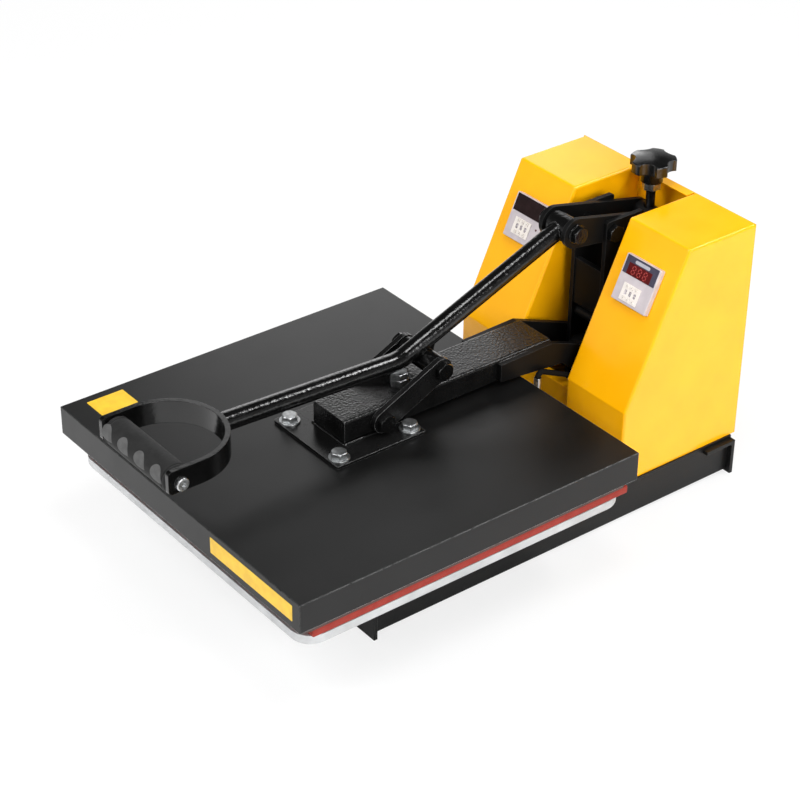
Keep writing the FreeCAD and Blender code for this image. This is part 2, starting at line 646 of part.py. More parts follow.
def upright(side):
    """Flat upright with the holes for the main axle and the rocker's bolt."""
    x0, x1 = sorted((UPRIGHT_IN * side, UPRIGHT_OUT * side))
    plate = block(x0, x1, UPRIGHT_FRONT, UPRIGHT_BACK, FRAME_TOP, UPRIGHT_TOP)
    plate = softened(plate, UPRIGHT_CORNER, lambda edge: runs_along(edge, Vector(1, 0, 0))
                     and edge.BoundBox.ZMin > UPRIGHT_TOP - 1)
    plate = plate.cut(rod_x(MAIN_PIVOT, AXLE_R + FIT, x0, x1))
    return plate.cut(rod_x(ROCKER_PIVOT, ROCKER_PIN_R + FIT, x0, x1))


def upright_ties():
    """What is welded between the uprights: stop plate, tie bar, back plate and pivot barrel."""
    half = UPRIGHT_IN
    front = UPRIGHT_FRONT + STOP_PLATE_SETBACK
    low = MAIN_PIVOT[1] + STOP_PLATE_RISE
    stop = block(-half, half, front, front + STOP_PLATE_THICK, low, low + STOP_PLATE_HEIGHT)
    rear = UPRIGHT_BACK - BACK_TIE_SETBACK
    back = block(-half, half, rear - BACK_TIE_THICK, rear,
                 FRAME_TOP + BACK_TIE_RISE, MAIN_PIVOT[1] + BACK_TIE_TOP)
    bar = rod_x((MAIN_PIVOT[0] + TIE_BAR_AT[0], MAIN_PIVOT[1] + TIE_BAR_AT[1]), TIE_BAR_R, -half, half)
    barrel = rod_x(MAIN_PIVOT, AXLE_R + BARREL_WALL, -half, half)
    barrel = barrel.cut(rod_x(MAIN_PIVOT, AXLE_R + FIT, -half, half))
    return Part.makeCompound([stop, back, bar, barrel])


def screw_anvil():
    """Shelf behind the uprights on which the pressure screw stands, with two gussets."""
    half = UPRIGHT_OUT
    shelf = block(-half, half, UPRIGHT_BACK, ANVIL_BACK, ANVIL_TOP - ANVIL_THICK, ANVIL_TOP)
    low = ANVIL_TOP - ANVIL_THICK
    outline = [(UPRIGHT_BACK, low), (ANVIL_BACK - ANVIL_GUSSET_IN, low), (UPRIGHT_BACK, low - ANVIL_GUSSET)]
    for side in (-1, 1):
        x0, x1 = sorted((half * side, (half - ANVIL_GUSSET_THICK) * side))
        shelf = shelf.fuse(slab_x(outline, x0, x1))
    seat = rod_z(0, NUT_PIVOT[0], SCREW_R + SEAT_ROOM, ANVIL_TOP - SEAT_DEPTH, ANVIL_TOP)
    return shelf.removeSplitter().cut(seat)


def main_axle():
    """Axle of the arm: hexagon head on the left, retaining ring on the right."""
    ring_in = YOKE_OUT + SIDE_GAP
    ring_out = ring_in + CLIP_THICK
    head_in = YOKE_OUT + AXLE_PLAY
    axle = rod_x(MAIN_PIVOT, AXLE_R, -head_in, ring_out + AXLE_TIP)
    axle = axle.fuse(hex_side(MAIN_PIVOT, AXLE_ACROSS, head_in, -1, AXLE_HEAD))
    ring = rod_x(MAIN_PIVOT, AXLE_R + CLIP_LEDGE, ring_in, ring_out)
    return axle.fuse(ring)


def rocker_pivot_bolt():
    """Bolt through both uprights and the rocker, with a head and a nut."""
    bolt = rod_x(ROCKER_PIVOT, ROCKER_PIN_R, -UPRIGHT_OUT, UPRIGHT_OUT)
    for side in (-1, 1):
        bolt = bolt.fuse(hex_side(ROCKER_PIVOT, LINK_HEAD_ACROSS, UPRIGHT_OUT, side, LINK_HEAD))
    return bolt


def arm_tube():
    """Rectangular tube of the arm, capped at the front, with a sleeve for the link's bolt."""
    half = ARM_HALF_WIDTH
    tube = block(-half, half, ARM_FRONT, ARM_BACK, MOUNT_TOP, ARM_TOP)
    tube = softened(tube, ARM_CORNER, lambda edge: runs_along(edge, Vector(0, 1, 0)))
    tube = tube.cut(block(-half + ARM_WALL, half - ARM_WALL, ARM_FRONT + ARM_WALL, ARM_BACK,
                          MOUNT_TOP + ARM_WALL, ARM_TOP - ARM_WALL))
    sleeve = rod_x(LINK_PIVOT, LINK_PIN_R + SLEEVE_WALL, -half + ARM_WALL, half - ARM_WALL)
    tube = tube.fuse(sleeve)
    tube = tube.cut(rod_x(LINK_PIVOT, LINK_PIN_R + FIT, -half, half))
    return tube.cut(rod_z(0, LEVEL_BOLT_Y, BOLT_R + FIT, MOUNT_TOP, ARM_TOP))


def yoke_plates():
    """Two plates welded to the tube's rear sides, each with an eye on the main axle."""
    front = ARM_BACK - YOKE_OVERLAP
    top = (ARM_BACK - YOKE_TOP_IN[0], ARM_TOP - YOKE_TOP_IN[1])
    neck = (ARM_BACK + YOKE_NECK_AT[0], MOUNT_TOP + YOKE_NECK_AT[1])
    belly = (ARM_BACK + YOKE_BELLY_AT[0], MOUNT_TOP + YOKE_BELLY_AT[1])
    upper = tangent_point(top, MAIN_PIVOT, YOKE_EYE, 1)
    lower = tangent_point(neck, MAIN_PIVOT, YOKE_EYE, -1)
    outline = [(front, MOUNT_TOP + YOKE_EDGE), (front, ARM_TOP - YOKE_EDGE), top, upper,
               MAIN_PIVOT, lower, neck, belly]
    plates = []
    for side in (-1, 1):
        x0, x1 = sorted((YOKE_IN * side, YOKE_OUT * side))
        plate = slab_x(outline, x0, x1).fuse(rod_x(MAIN_PIVOT, YOKE_EYE, x0, x1))
        plates.append(plate.removeSplitter().cut(rod_x(MAIN_PIVOT, AXLE_R + FIT, x0, x1)))
    return Part.makeCompound(plates)


def mount_bolt_spots():
    """Places of the four bolts that hold the cover and the hot plate to the mounting plate."""
    spots = []
    for x in (-MOUNT_BOLT_X, MOUNT_BOLT_X):
        for y in (MOUNT_MID - MOUNT_BOLT_HALF_PITCH, MOUNT_MID + MOUNT_BOLT_HALF_PITCH):
            spots.append((x, y))
    return spots


def mounting_plate():
    """Plate under the arm, bolted through the cover."""
    plate = square_plate(MOUNT_HALF_WIDTH, MOUNT_FRONT, MOUNT_BACK, COVER_TOP, MOUNT_TOP, MOUNT_CORNER)
    for x, y in mount_bolt_spots():
        plate = plate.cut(rod_z(x, y, BOLT_R + BOLT_CLEARANCE, COVER_TOP, MOUNT_TOP))
    return plate


def mounting_bolts():
    """Four bolts with washers into the hot plate, and the levelling bolt with its nut."""
    pieces = []
    for x, y in mount_bolt_spots():
        washer = rod_z(x, y, WASHER_R, MOUNT_TOP, MOUNT_TOP + WASHER_THICK)
        shank = rod_z(x, y, BOLT_R, HOT_TOP - BOLT_BITE, MOUNT_TOP + WASHER_THICK)
        head = hex_up(x, y, BOLT_ACROSS, MOUNT_TOP + WASHER_THICK, BOLT_HEAD)
        pieces.append(washer.fuse([shank, head]))
    nut = hex_up(0, LEVEL_BOLT_Y, BOLT_ACROSS, ARM_TOP, LEVEL_NUT)
    head = hex_up(0, LEVEL_BOLT_Y, LEVEL_HEAD_ACROSS, ARM_TOP + LEVEL_NUT, BOLT_HEAD)
    shank = rod_z(0, LEVEL_BOLT_Y, BOLT_R, COVER_TOP + LEVEL_GAP, ARM_TOP + LEVEL_NUT)
    pieces.append(nut.fuse([head, shank]))
    return Part.makeCompound(pieces)


def top_cover():
    """Folded cover, open below, with holes for the bolts and for the lead's fitting."""
    half = COVER_WIDTH / 2
    inner = half - COVER_WALL
    shell = square_plate(half, 0, COVER_DEPTH, COVER_BOTTOM, COVER_TOP, COVER_FOLD)
    shell = softened(shell, COVER_FOLD, lambda edge: edge.BoundBox.ZMin > COVER_TOP - FIT)
    shell = shell.cut(block(-inner, inner, COVER_WALL, COVER_DEPTH - COVER_WALL,
                            COVER_BOTTOM, COVER_TOP - COVER_WALL))
    for x, y in mount_bolt_spots():
        shell = shell.cut(rod_z(x, y, BOLT_R + BOLT_CLEARANCE, COVER_TOP - COVER_WALL, COVER_TOP))
    return shell.cut(lead_fitting_thread(FIT, COVER_DEPTH))


def element_path():
    """Serpentine of parallel runs joined by half turns, lying in the top of the hot plate."""
    low = PLATEN_FRONT + ELEMENT_MARGIN
    high = PLATEN_REAR - ELEMENT_MARGIN
    x = -ELEMENT_PITCH * (ELEMENT_RUNS - 1) / 2
    edges = []
    for run in range(ELEMENT_RUNS):
        towards_front = run % 2 == 0
        start, end = (high, low) if towards_front else (low, high)
        edges.append(Part.makeLine(Vector(x, start, HOT_TOP), Vector(x, end, HOT_TOP)))
        if run < ELEMENT_RUNS - 1:
            bulge = -ELEMENT_PITCH / 2 if towards_front else ELEMENT_PITCH / 2
            middle = Vector(x + ELEMENT_PITCH / 2, end + bulge, HOT_TOP)
            finish = Vector(x + ELEMENT_PITCH, end, HOT_TOP)
            edges.append(Part.Arc(Vector(x, end, HOT_TOP), middle, finish).toShape())
        x += ELEMENT_PITCH
    return Part.Wire(edges)


def element_groove():
    """Square groove along the element's path, as deep as half of the element."""
    path = element_path()
    start = path.Edges[0].valueAt(path.Edges[0].FirstParameter)
    half = ELEMENT_R + FIT
    square = ((-half, -half), (half, -half), (half, half), (-half, half))
    corners = [start + Vector(x, 0, z) for x, z in square]
    corners.append(corners[0])
    return path.makePipeShell([Part.makePolygon(corners)], True, False)


def hot_plate():
    """Cast hot plate with bosses up to the cover and a groove for the element."""
    slab = square_plate(PLATEN / 2, PLATEN_FRONT, PLATEN_REAR, HOT_BOTTOM, HOT_TOP, HOT_CORNER)
    slab = slab.cut(element_groove())
    for x, y in mount_bolt_spots():
        slab = slab.fuse(rod_z(x, y, BOSS_R, HOT_BOTTOM + HOT_THICK / 2, HOT_TOP + BOSS_HEIGHT))
        slab = slab.cut(rod_z(x, y, BOLT_R + FIT, HOT_TOP - BOLT_BITE - DRILL_TIP, COVER_TOP))
    return slab


def insulation():
    """Ceramic fibre blanket between the element and the cover."""
    low = HOT_TOP + ELEMENT_R + BLANKET_GAP
    blanket = block(-PLATEN / 2 + BLANKET_INSET, PLATEN / 2 - BLANKET_INSET,
                    PLATEN_FRONT + BLANKET_INSET, PLATEN_REAR - BLANKET_REAR_INSET,
                    low, low + BLANKET_THICK)
    for x, y in mount_bolt_spots():
        blanket = blanket.cut(rod_z(x, y, BOSS_R + BLANKET_GAP, low, low + BLANKET_THICK))
    return blanket


def lead_fitting_thread(room, back):
    """Level thread of the lead's fitting, through the cover's rear wall."""
    front = COVER_DEPTH - COVER_WALL - GLAND_BACK
    radius = LEAD_R + 2 * LEAD_FERRULE_WALL + room
    return rod_y(LEAD_SIDE_X, COVER_TOP - LEAD_FITTING_Z, radius, front, back)


def lead_gland():
    """Right-angled fitting on the cover's rear wall: a nut, an elbow and an upright ferrule."""
    x, y, z = LEAD_SIDE_X, COVER_DEPTH + LEAD_FITTING_BEHIND, COVER_TOP - LEAD_FITTING_Z
    radius = LEAD_R + LEAD_FERRULE_WALL
    mouth = z + LEAD_FERRULE
    nut = hexagon(GLAND_ACROSS, GLAND_NUT)
    nut.rotate(Vector(0, 0, 0), Vector(1, 0, 0), -90)
    branch = rod_y(x, z, radius, COVER_DEPTH, y)
    elbow = Part.makeSphere(radius, Vector(x, y, z))
    pieces = [branch, elbow, rod_z(x, y, radius, z, mouth), nut.translate(Vector(x, COVER_DEPTH, z))]
    fitting = lead_fitting_thread(0, COVER_DEPTH).fuse(pieces)
    return fitting.cut(rod_z(x, y, LEAD_R + FIT, z, mouth))


def heater_lead():
    """Lead from the fitting to the hinge axis, beside the right yoke plate."""
    x, y, z = LEAD_SIDE_X, COVER_DEPTH + LEAD_FITTING_BEHIND, COVER_TOP - LEAD_FITTING_Z
    points = [
        Vector(x, y, z + LEAD_R),
        Vector(x, y, z + LEAD_FERRULE + LEAD_LOOP),
        Vector(x, (y + MAIN_PIVOT[0]) / 2, z - LEAD_R),
        Vector(x, MAIN_PIVOT[0] - LEAD_SPLIT, MAIN_PIVOT[1]),
    ]
    return tube_along(bent_path(points, [LEAD_TURN_R, LEAD_BEND_R]), LEAD_R)


def lead_tail():
    """Lead from the hinge axis into the right housing."""
    y, z = MAIN_PIVOT
    points = [
        Vector(LEAD_SIDE_X, y + LEAD_SPLIT, z),
        Vector(LEAD_SIDE_X, y + LEAD_TAIL_TURN[0], z + LEAD_TAIL_TURN[1]),
        Vector(TOWER_IN + LEAD_TAIL_END[0], y + LEAD_TAIL_END[1], z + LEAD_TAIL_END[2]),
    ]
    return tube_along(bent_path(points, [LEAD_TAIL_R]), LEAD_R)


def link_plates():
    """Pair of links from the arm up to the lever's knee."""
    plates = []
    for side in (-1, 1):
        x0, x1 = sorted((LINK_IN * side, LINK_OUT * side))
        plate = strap(LINK_PIVOT, KNEE_PIVOT, LINK_EYE, LINK_EYE, x0, x1)
        for pivot in (LINK_PIVOT, KNEE_PIVOT):
            plate = plate.cut(rod_x(pivot, LINK_PIN_R + FIT, x0, x1))
        plates.append(plate)
    return Part.makeCompound(plates)


def link_bolts():
    """Through bolt in the arm, and two shoulder bolts that end short of the lever's knee."""
    bolt = rod_x(LINK_PIVOT, LINK_PIN_R, -LINK_OUT, LINK_OUT)
    pieces = []
    for side in (-1, 1):
        bolt = bolt.fuse(hex_side(LINK_PIVOT, LINK_HEAD_ACROSS, LINK_OUT, side, LINK_HEAD))
        x0, x1 = sorted((LINK_IN * side, LINK_OUT * side))
        stub = rod_x(KNEE_PIVOT, LINK_PIN_R, x0, x1)
        pieces.append(stub.fuse(hex_side(KNEE_PIVOT, LINK_HEAD_ACROSS, LINK_OUT, side, LINK_HEAD)))
    pieces.append(bolt)
    return Part.makeCompound(pieces)


def lever():
    """Bent tube with a cross boss at its rear end and another under the bend."""
    points = [
        Vector(0, LOOP_MID_Y + LOOP_OUTER - LEVER_COPE, LEVER_FRONT_Z),
        Vector(0, LEVER_BEND[0], LEVER_BEND[1]),
        Vector(0, LEVER_PIVOT[0], LEVER_PIVOT[1] + LEVER_RISE),
    ]
    path = bent_path(points, [LEVER_BEND_R])
    bar = tube_along(path, LEVER_R)
    knee = rod_x(KNEE_PIVOT, KNEE_BOSS_R, -KNEE_BOSS_HALF, KNEE_BOSS_HALF)
    boss = rod_x(LEVER_PIVOT, LEVER_BOSS_R, -LEVER_BOSS_HALF, LEVER_BOSS_HALF)
    y, z = KNEE_PIVOT
    half, low = GUSSET_LOW
    outline = [(y - GUSSET_FRONT[0], LEVER_BEND[1] + GUSSET_FRONT[1]), (y - half, z - low),
               (y + half, z - low), (y + GUSSET_REAR[0], LEVER_BEND[1] + GUSSET_REAR[1])]
    bar = bar.fuse([knee, boss, slab_x(outline, -GUSSET_HALF, GUSSET_HALF)])
    bar = bar.cut(tube_along(path, LEVER_R - LEVER_WALL))
    bar = bar.fuse(boss)
    bar = bar.cut(rod_z(0, LOOP_MID_Y, LOOP_OUTER, LOOP_MID_Z - LOOP_R, LOOP_MID_Z + LOOP_R))
    bar = bar.cut(rod_x(LEVER_PIVOT, LEVER_PIN_R + FIT, -LEVER_BOSS_HALF, LEVER_BOSS_HALF))
    return bar.cut(rod_x(KNEE_PIVOT, LINK_PIN_R + KNEE_PLAY, -KNEE_BOSS_HALF, KNEE_BOSS_HALF))


def handle_loop():
    """Flat strip bent to a U, its legs drilled for the grip's screws."""
    outer, inner = LOOP_OUTER, LOOP_INNER
    z0, z1 = LOOP_MID_Z - LOOP_HEIGHT / 2, LOOP_MID_Z + LOOP_HEIGHT / 2
    half_ring = rod_z(0, LOOP_MID_Y, outer, z0, z1).cut(rod_z(0, LOOP_MID_Y, inner, z0, z1))
    half_ring = half_ring.cut(block(-outer, outer, LOOP_MID_Y - outer, LOOP_MID_Y, z0, z1))
    legs = [block(x0, x1, LOOP_FRONT, LOOP_MID_Y, z0, z1) for x0, x1 in ((-outer, -inner), (inner, outer))]
    loop = half_ring.fuse(legs).removeSplitter()
    loop = softened(loop, LOOP_END_R, lambda edge: runs_along(edge, Vector(1, 0, 0))
                    and edge.BoundBox.YMax < LOOP_FRONT + FIT)
    return loop.cut(rod_x(GRIP_AT, HANDLE_SCREW_R + FIT, -outer, outer))


def grip():
    """Round foam grip with rounded ends."""
    half = LOOP_INNER
    r = GRIP_R
    end = GRIP_END
    slack = end * CORNER_SLACK
    core = HANDLE_SCREW_R + FIT
    left = Part.Arc(Vector(-half, r - end, 0), Vector(-half + slack, r - slack, 0),
                    Vector(-half + end, r, 0))
    right = Part.Arc(Vector(half - end, r, 0), Vector(half - slack, r - slack, 0), Vector(half, r - end, 0))
    edges = [
        Part.makeLine(Vector(-half, core, 0), Vector(-half, r - end, 0)),
        left.toShape(),
        Part.makeLine(Vector(-half + end, r, 0), Vector(half - end, r, 0)),
        right.toShape(),
        Part.makeLine(Vector(half, r - end, 0), Vector(half, core, 0)),
        Part.makeLine(Vector(half, core, 0), Vector(-half, core, 0)),
    ]
    body = Part.Face(Part.Wire(edges)).revolve(Vector(0, 0, 0), Vector(1, 0, 0), 360)
    return body.translate(Vector(0, GRIP_AT[0], GRIP_AT[1]))


def handle_screws():
    """Bar through the grip with a round-headed socket screw at each end."""
    crown = LOOP_OUTER + HANDLE_HEAD
    bar = rod_x(GRIP_AT, HANDLE_SCREW_R, -LOOP_OUTER, LOOP_OUTER)
    for side in (-1, 1):
        head = rod_x(GRIP_AT, HANDLE_HEAD_R, *sorted((LOOP_OUTER * side, crown * side)))
        head = softened(head, HANDLE_CROWN, lambda edge: abs(edge.BoundBox.XMin - crown * side) < FIT)
        socket = hex_side(GRIP_AT, HANDLE_SOCKET, crown - SOCKET_DEPTH, side, HANDLE_HEAD)
        bar = bar.fuse(head).cut(socket)
    return bar


def rocker_plates():
    """Pair of rocker plates from the lever's pin to the pressure nut."""
    plates = []
    for side in (-1, 1):
        x0, x1 = sorted((ROCKER_IN * side, ROCKER_OUT * side))
        plate = strap(LEVER_PIVOT, NUT_PIVOT, ROCKER_EYE, ROCKER_TAIL, x0, x1)
        for pivot, radius in ((LEVER_PIVOT, LEVER_PIN_R), (ROCKER_PIVOT, ROCKER_PIN_R),
                              (NUT_PIVOT, BARREL_NUT_PIN_R)):
            plate = plate.cut(rod_x(pivot, radius + FIT, x0, x1))
        plates.append(plate)
    return Part.makeCompound(plates)


def lever_pin():
    """Pin through the rocker plates and the lever's rear boss."""
    return rod_x(LEVER_PIVOT, LEVER_PIN_R, -ROCKER_OUT, ROCKER_OUT)


def barrel_nut():
    """Cross nut of the pressure screw, turning in the rocker's tail."""
    half = ROCKER_IN - SIDE_GAP
    nut = rod_x(NUT_PIVOT, BARREL_NUT_R, -half, half)
    nut = nut.fuse(rod_x(NUT_PIVOT, BARREL_NUT_PIN_R, -ROCKER_OUT, ROCKER_OUT))
    y, z = NUT_PIVOT
    return nut.cut(rod_z(0, y, SCREW_R + SCREW_PLAY, z - 2 * BARREL_NUT_R, z + 2 * BARREL_NUT_R))


def pressure_screw():
    """Screw that stands on the anvil, with the jam nut under the knob."""
    y = NUT_PIVOT[0]
    screw = rod_z(0, y, SCREW_R, ANVIL_TOP - SEAT_DEPTH + SEAT_GAP, SCREW_TOP)
    nut = hex_up(0, y, JAM_ACROSS, JAM_LOW, JAM_HEIGHT)
    return screw.fuse(nut)


def star_knob():
    """Five-lobed knob: a turned body with a domed top, cut by round scallops."""
    y = NUT_PIVOT[0]
    low = HUB_TOP
    rim = low + STAR_RIM
    dome_r = STAR_R - STAR_ROUND
    shoulder = rim + STAR_ROUND
    sag = STAR_TOP - shoulder
    ball = (dome_r ** 2 + sag ** 2) / (2 * sag)
    half_way = STAR_TOP - ball + math.sqrt(ball ** 2 - dome_r ** 2 / 4)
    bend = STAR_ROUND * CORNER_SLACK
    rounding = Part.Arc(Vector(STAR_R, 0, rim), Vector(STAR_R - bend, 0, shoulder - bend),
                        Vector(dome_r, 0, shoulder))
    dome = Part.Arc(Vector(dome_r, 0, shoulder), Vector(dome_r / 2, 0, half_way), Vector(0, 0, STAR_TOP))
    edges = [
        Part.makeLine(Vector(0, 0, low), Vector(STAR_R, 0, low)),
        Part.makeLine(Vector(STAR_R, 0, low), Vector(STAR_R, 0, rim)),
        rounding.toShape(),
        dome.toShape(),
        Part.makeLine(Vector(0, 0, STAR_TOP), Vector(0, 0, low)),
    ]
    star = Part.Face(Part.Wire(edges)).revolve(Vector(0, 0, 0), Vector(0, 0, 1), 360)
    for lobe in range(STAR_LOBES):
        turn = math.radians(STAR_TURN + 360 * lobe / STAR_LOBES)
        x, along = STAR_SCALLOP_AT * math.cos(turn), STAR_SCALLOP_AT * math.sin(turn)
        star = star.cut(rod_z(x, along, STAR_SCALLOP_R, low, STAR_TOP))
    body = star.fuse(rod_z(0, 0, HUB_R, JAM_TOP, low + HUB_BITE))
    body = body.cut(rod_z(0, 0, SCREW_R + FIT, JAM_TOP, SCREW_TOP + SCREW_TOP_GAP))
    return body.translate(Vector(0, y, 0))


def tower_outline(inset):
    """Side outline of a housing, moved inwards by the inset, open to the back and below."""
    along = SLOPE_ALONG
    inward = (along[1], -along[0])
    knee_slide = inset * (1 - inward[0]) / along[0]
    knee = (TOWER_FRONT + inset, TOWER_KNEE + inset * inward[1] + knee_slide * along[1])
    top_slide = (-inset - inset * inward[1]) / along[1]
    top_front = TOWER_FRONT + TOWER_SLOPE_RUN
    top = (top_front + inset * inward[0] + top_slide * along[0], TOWER_TOP - inset)
    spare = TOWER_BEND if inset else 0
    back = PANEL_FRONT + spare
    low = FRAME_TOP - spare
    return [(TOWER_FRONT + inset, low), knee, top, (back, TOWER_TOP - inset), (back, low)]


def tower_body(inset):
    """Solid inside the tower's outer or inner skin, its folds rounded."""
    body = slab_x(tower_outline(inset), TOWER_IN + inset, TOWER_OUT - inset)
    back = PANEL_FRONT - SHEET
    low = FRAME_TOP + SHEET

    def is_fold(edge):
        box = edge.BoundBox
        if runs_along(edge, Vector(1, 0, 0)):
            return box.YMax < back and box.ZMin > low
        return box.YMin < back and box.ZMax > low

    return softened(body, TOWER_BEND - inset, is_fold)


def tower(side):
    """Folded steel housing, open at the back and below, with a cut-out for its controller."""
    shell = tower_body(0).cut(tower_body(SHEET))
    for x0, x1 in ((TOWER_IN, TOWER_IN + TOWER_FLANGE), (TOWER_OUT - TOWER_FLANGE, TOWER_OUT)):
        flange = block(x0, x1, PANEL_FRONT - SHEET, PANEL_FRONT, FRAME_TOP, TOWER_TOP - TOWER_BEND)
        shell = shell.fuse(flange)
    half = CASE / 2 + CUTOUT_GAP
    shell = shell.cut(on_slope(block(-half, half, -half, half, -2 * SHEET, SHEET), 1))
    if side > 0:
        at = (MAIN_PIVOT[0] + LEAD_HOLE_AT[0], MAIN_PIVOT[1] + LEAD_HOLE_AT[1])
        return shell.cut(rod_x(at, LEAD_HOLE_R, TOWER_IN - SHEET, TOWER_IN + 2 * SHEET))
    return shell.mirror(Vector(0, 0, 0), Vector(1, 0, 0))


def on_slope(shape, side):
    """Moves a shape from a controller's own frame to its place in the slanted face.

    In its own frame X is across, Y is up the slope and Z stands out of the face.
    """
    y = TOWER_FRONT + SLOPE_ALONG[0] * CONTROL_UP
    z = TOWER_KNEE + SLOPE_ALONG[1] * CONTROL_UP
    tilt = Rotation(Vector(1, 0, 0), math.degrees(math.atan2(SLOPE_ALONG[1], SLOPE_ALONG[0])))
    shape.Placement = Placement(Vector(TOWER_MID * side, y, z), tilt).multiply(shape.Placement)
    return shape


def housing_sill():
    """Folded sill that joins the two housings in front of the uprights."""
    half = TOWER_IN
    face = block(-half, half, SILL_FRONT, SILL_FRONT + SHEET, FRAME_TOP, SILL_TOP)
    top = block(-half, half, SILL_FRONT, SILL_FRONT + SILL_FLANGE, SILL_TOP - SHEET, SILL_TOP)
    foot = block(-half, half, SILL_FRONT, SILL_FRONT + SILL_FLANGE, FRAME_TOP, FRAME_TOP + SHEET)
    sill = face.fuse([top, foot]).removeSplitter()
    return softened(sill, SHEET - FIT, lambda edge: runs_along(edge, Vector(1, 0, 0))
                    and edge.BoundBox.YMax < SILL_FRONT + FIT)


def panel_screw_spots():
    """Places of the screws near the corners of each housing."""
    spots = []
    for x in (TOWER_OUT - TOWER_FLANGE / 2, TOWER_IN + TOWER_FLANGE / 2):
        for z in (FRAME_TOP + PANEL_SCREW_LOW, TOWER_TOP - PANEL_SCREW_HIGH):
            spots.append((x, z))
            spots.append((-x, z))
    return spots


def rear_panel():
    """Rear panel over both housings, with louvres and openings for the switch and the inlet."""
    panel = block(-TOWER_OUT, TOWER_OUT, PANEL_FRONT, PANEL_BACK, FRAME_TOP, TOWER_TOP)
    lip_half = TOWER_IN - PANEL_GAP
    lip = block(-lip_half, lip_half, PANEL_FRONT - PANEL_LIP, PANEL_BACK, TOWER_TOP - SHEET, TOWER_TOP)
    panel = panel.fuse(lip).removeSplitter()
    for side in (-1, 1):
        for k in range(LOUVRE_COUNT):
            middle = TOWER_TOP - LOUVRE_DOWN + k * LOUVRE_PITCH + LOUVRE_HEIGHT / 2
            panel = panel.cut(wall_hole(TOWER_MID * side, middle, LOUVRE_LENGTH, LOUVRE_HEIGHT))
    panel = panel.cut(wall_hole(TOWER_MID, FITTING_Z, SWITCH_WIDTH, SWITCH_HEIGHT))
    lap = 2 * INLET_LAP
    panel = panel.cut(wall_hole(-TOWER_MID, FITTING_Z, INLET_WIDTH - lap, INLET_HEIGHT - lap))
    for x, z in panel_screw_spots():
        panel = panel.cut(rod_y(x, z, PANEL_SCREW_R + FIT, PANEL_FRONT, PANEL_BACK))
    return panel


def wall_hole(x, z, width, height):
    """Block that cuts a rectangular opening through the rear panel."""
    return block(x - width / 2, x + width / 2, PANEL_FRONT, PANEL_BACK, z - height / 2, z + height / 2)


def rear_panel_screws():
    """Screws that hold the rear panel to the housings' flanges."""
    screws = []
    for x, z in panel_screw_spots():
        head = rod_y(x, z, PANEL_SCREW_HEAD_R, PANEL_BACK, PANEL_BACK + PANEL_SCREW_HEAD)
        screws.append(head.fuse(rod_y(x, z, PANEL_SCREW_R, PANEL_FRONT, PANEL_BACK)))
    return Part.makeCompound(screws)


def key_spots(side):
    """Name and place of each key in a controller's own frame."""
    spots = []
    for column in (-1, 0, 1):
        for row, name in ((1, "up"), (-1, "down")):
            x = DIAL_X + column * DIGIT_PITCH
            spots.append((name + "_%d" % (column + 2), x, DIAL_MID[side] + row * KEY_ROW))
    return spots


def controller(side):
    """Controller case with its bezel, window seat, setting block and key pockets."""
    half = BEZEL / 2
    middle = DIAL_MID[side]
    face = BEZEL_PROUD + DIAL_PROUD
    bezel = block(-half, half, -half, half, 0, BEZEL_PROUD)
    bezel = softened(bezel, BEZEL_ROUND, lambda edge: edge.BoundBox.ZMax > BEZEL_ROUND)
    case = block(-CASE / 2, CASE / 2, -CASE / 2, CASE / 2, -CASE_DEPTH, 0)
    dial = flat_box(DIAL_X, middle, DIAL_WIDTH, DIAL_HEIGHT, BEZEL_PROUD - DIAL_PROUD, face)
    body = bezel.fuse([case, dial]).removeSplitter()
    body = body.cut(block(-WINDOW_WIDTH / 2, WINDOW_WIDTH / 2, WINDOW_LOW, WINDOW_HIGH,
                          BEZEL_PROUD - WINDOW_DEPTH, face))
    for column in (-1, 0, 1):
        x = DIAL_X + column * DIGIT_PITCH
        body = body.cut(flat_box(x, middle, DIGIT_WIDTH, DIGIT_HEIGHT, face - DIGIT_DEPTH, face))
    for name, x, y in key_spots(side):
        room = 2 * KEY_GAP
        body = body.cut(flat_box(x, y, KEY_WIDTH + room, KEY_HEIGHT + room, face - KEY_DEPTH, face))
    return on_slope(body, side)


def flat_box(x, y, width, height, z0, z1):
    """Block about a point of a controller's face."""
    return block(x - width / 2, x + width / 2, y - height / 2, y + height / 2, z0, z1)


def display_window(side):
    """Window of a controller's display."""
    half = WINDOW_WIDTH / 2 - WINDOW_GAP
    pane = block(-half, half, WINDOW_LOW + WINDOW_GAP, WINDOW_HIGH - WINDOW_GAP,
                 BEZEL_PROUD - WINDOW_DEPTH, BEZEL_PROUD - WINDOW_SUNK)
    return on_slope(pane, side)


def key(x, y, side):
    """Push key of a setting block, standing proud of the block by its travel and a little more."""
    face = BEZEL_PROUD + DIAL_PROUD
    low = face - KEY_DEPTH + KEY_TRAVEL + KEY_FLOOR
    body = flat_box(x, y, KEY_WIDTH, KEY_HEIGHT, low, face + KEY_PROUD)
    return on_slope(softened(body, KEY_ROUND, lambda edge: edge.BoundBox.ZMin > face), side)


def switch_frame():
    """Frame of the power switch in the rear panel."""
    w, h = SWITCH_WIDTH / 2 - SWITCH_GAP, SWITCH_HEIGHT / 2 - SWITCH_GAP
    rim, wall = SWITCH_RIM, SWITCH_WALL
    body = block(-w, w, -SWITCH_DEPTH, SHEET, -h, h)
    body = body.fuse(block(-w - rim, w + rim, SHEET, SHEET + SWITCH_PROUD, -h - rim, h + rim))
    well = block(-w + wall, w - wall, -SWITCH_WELL, SHEET + SWITCH_PROUD, -h + wall, h - wall)
    return body.cut(well).translate(Vector(TOWER_MID, PANEL_FRONT, FITTING_Z))


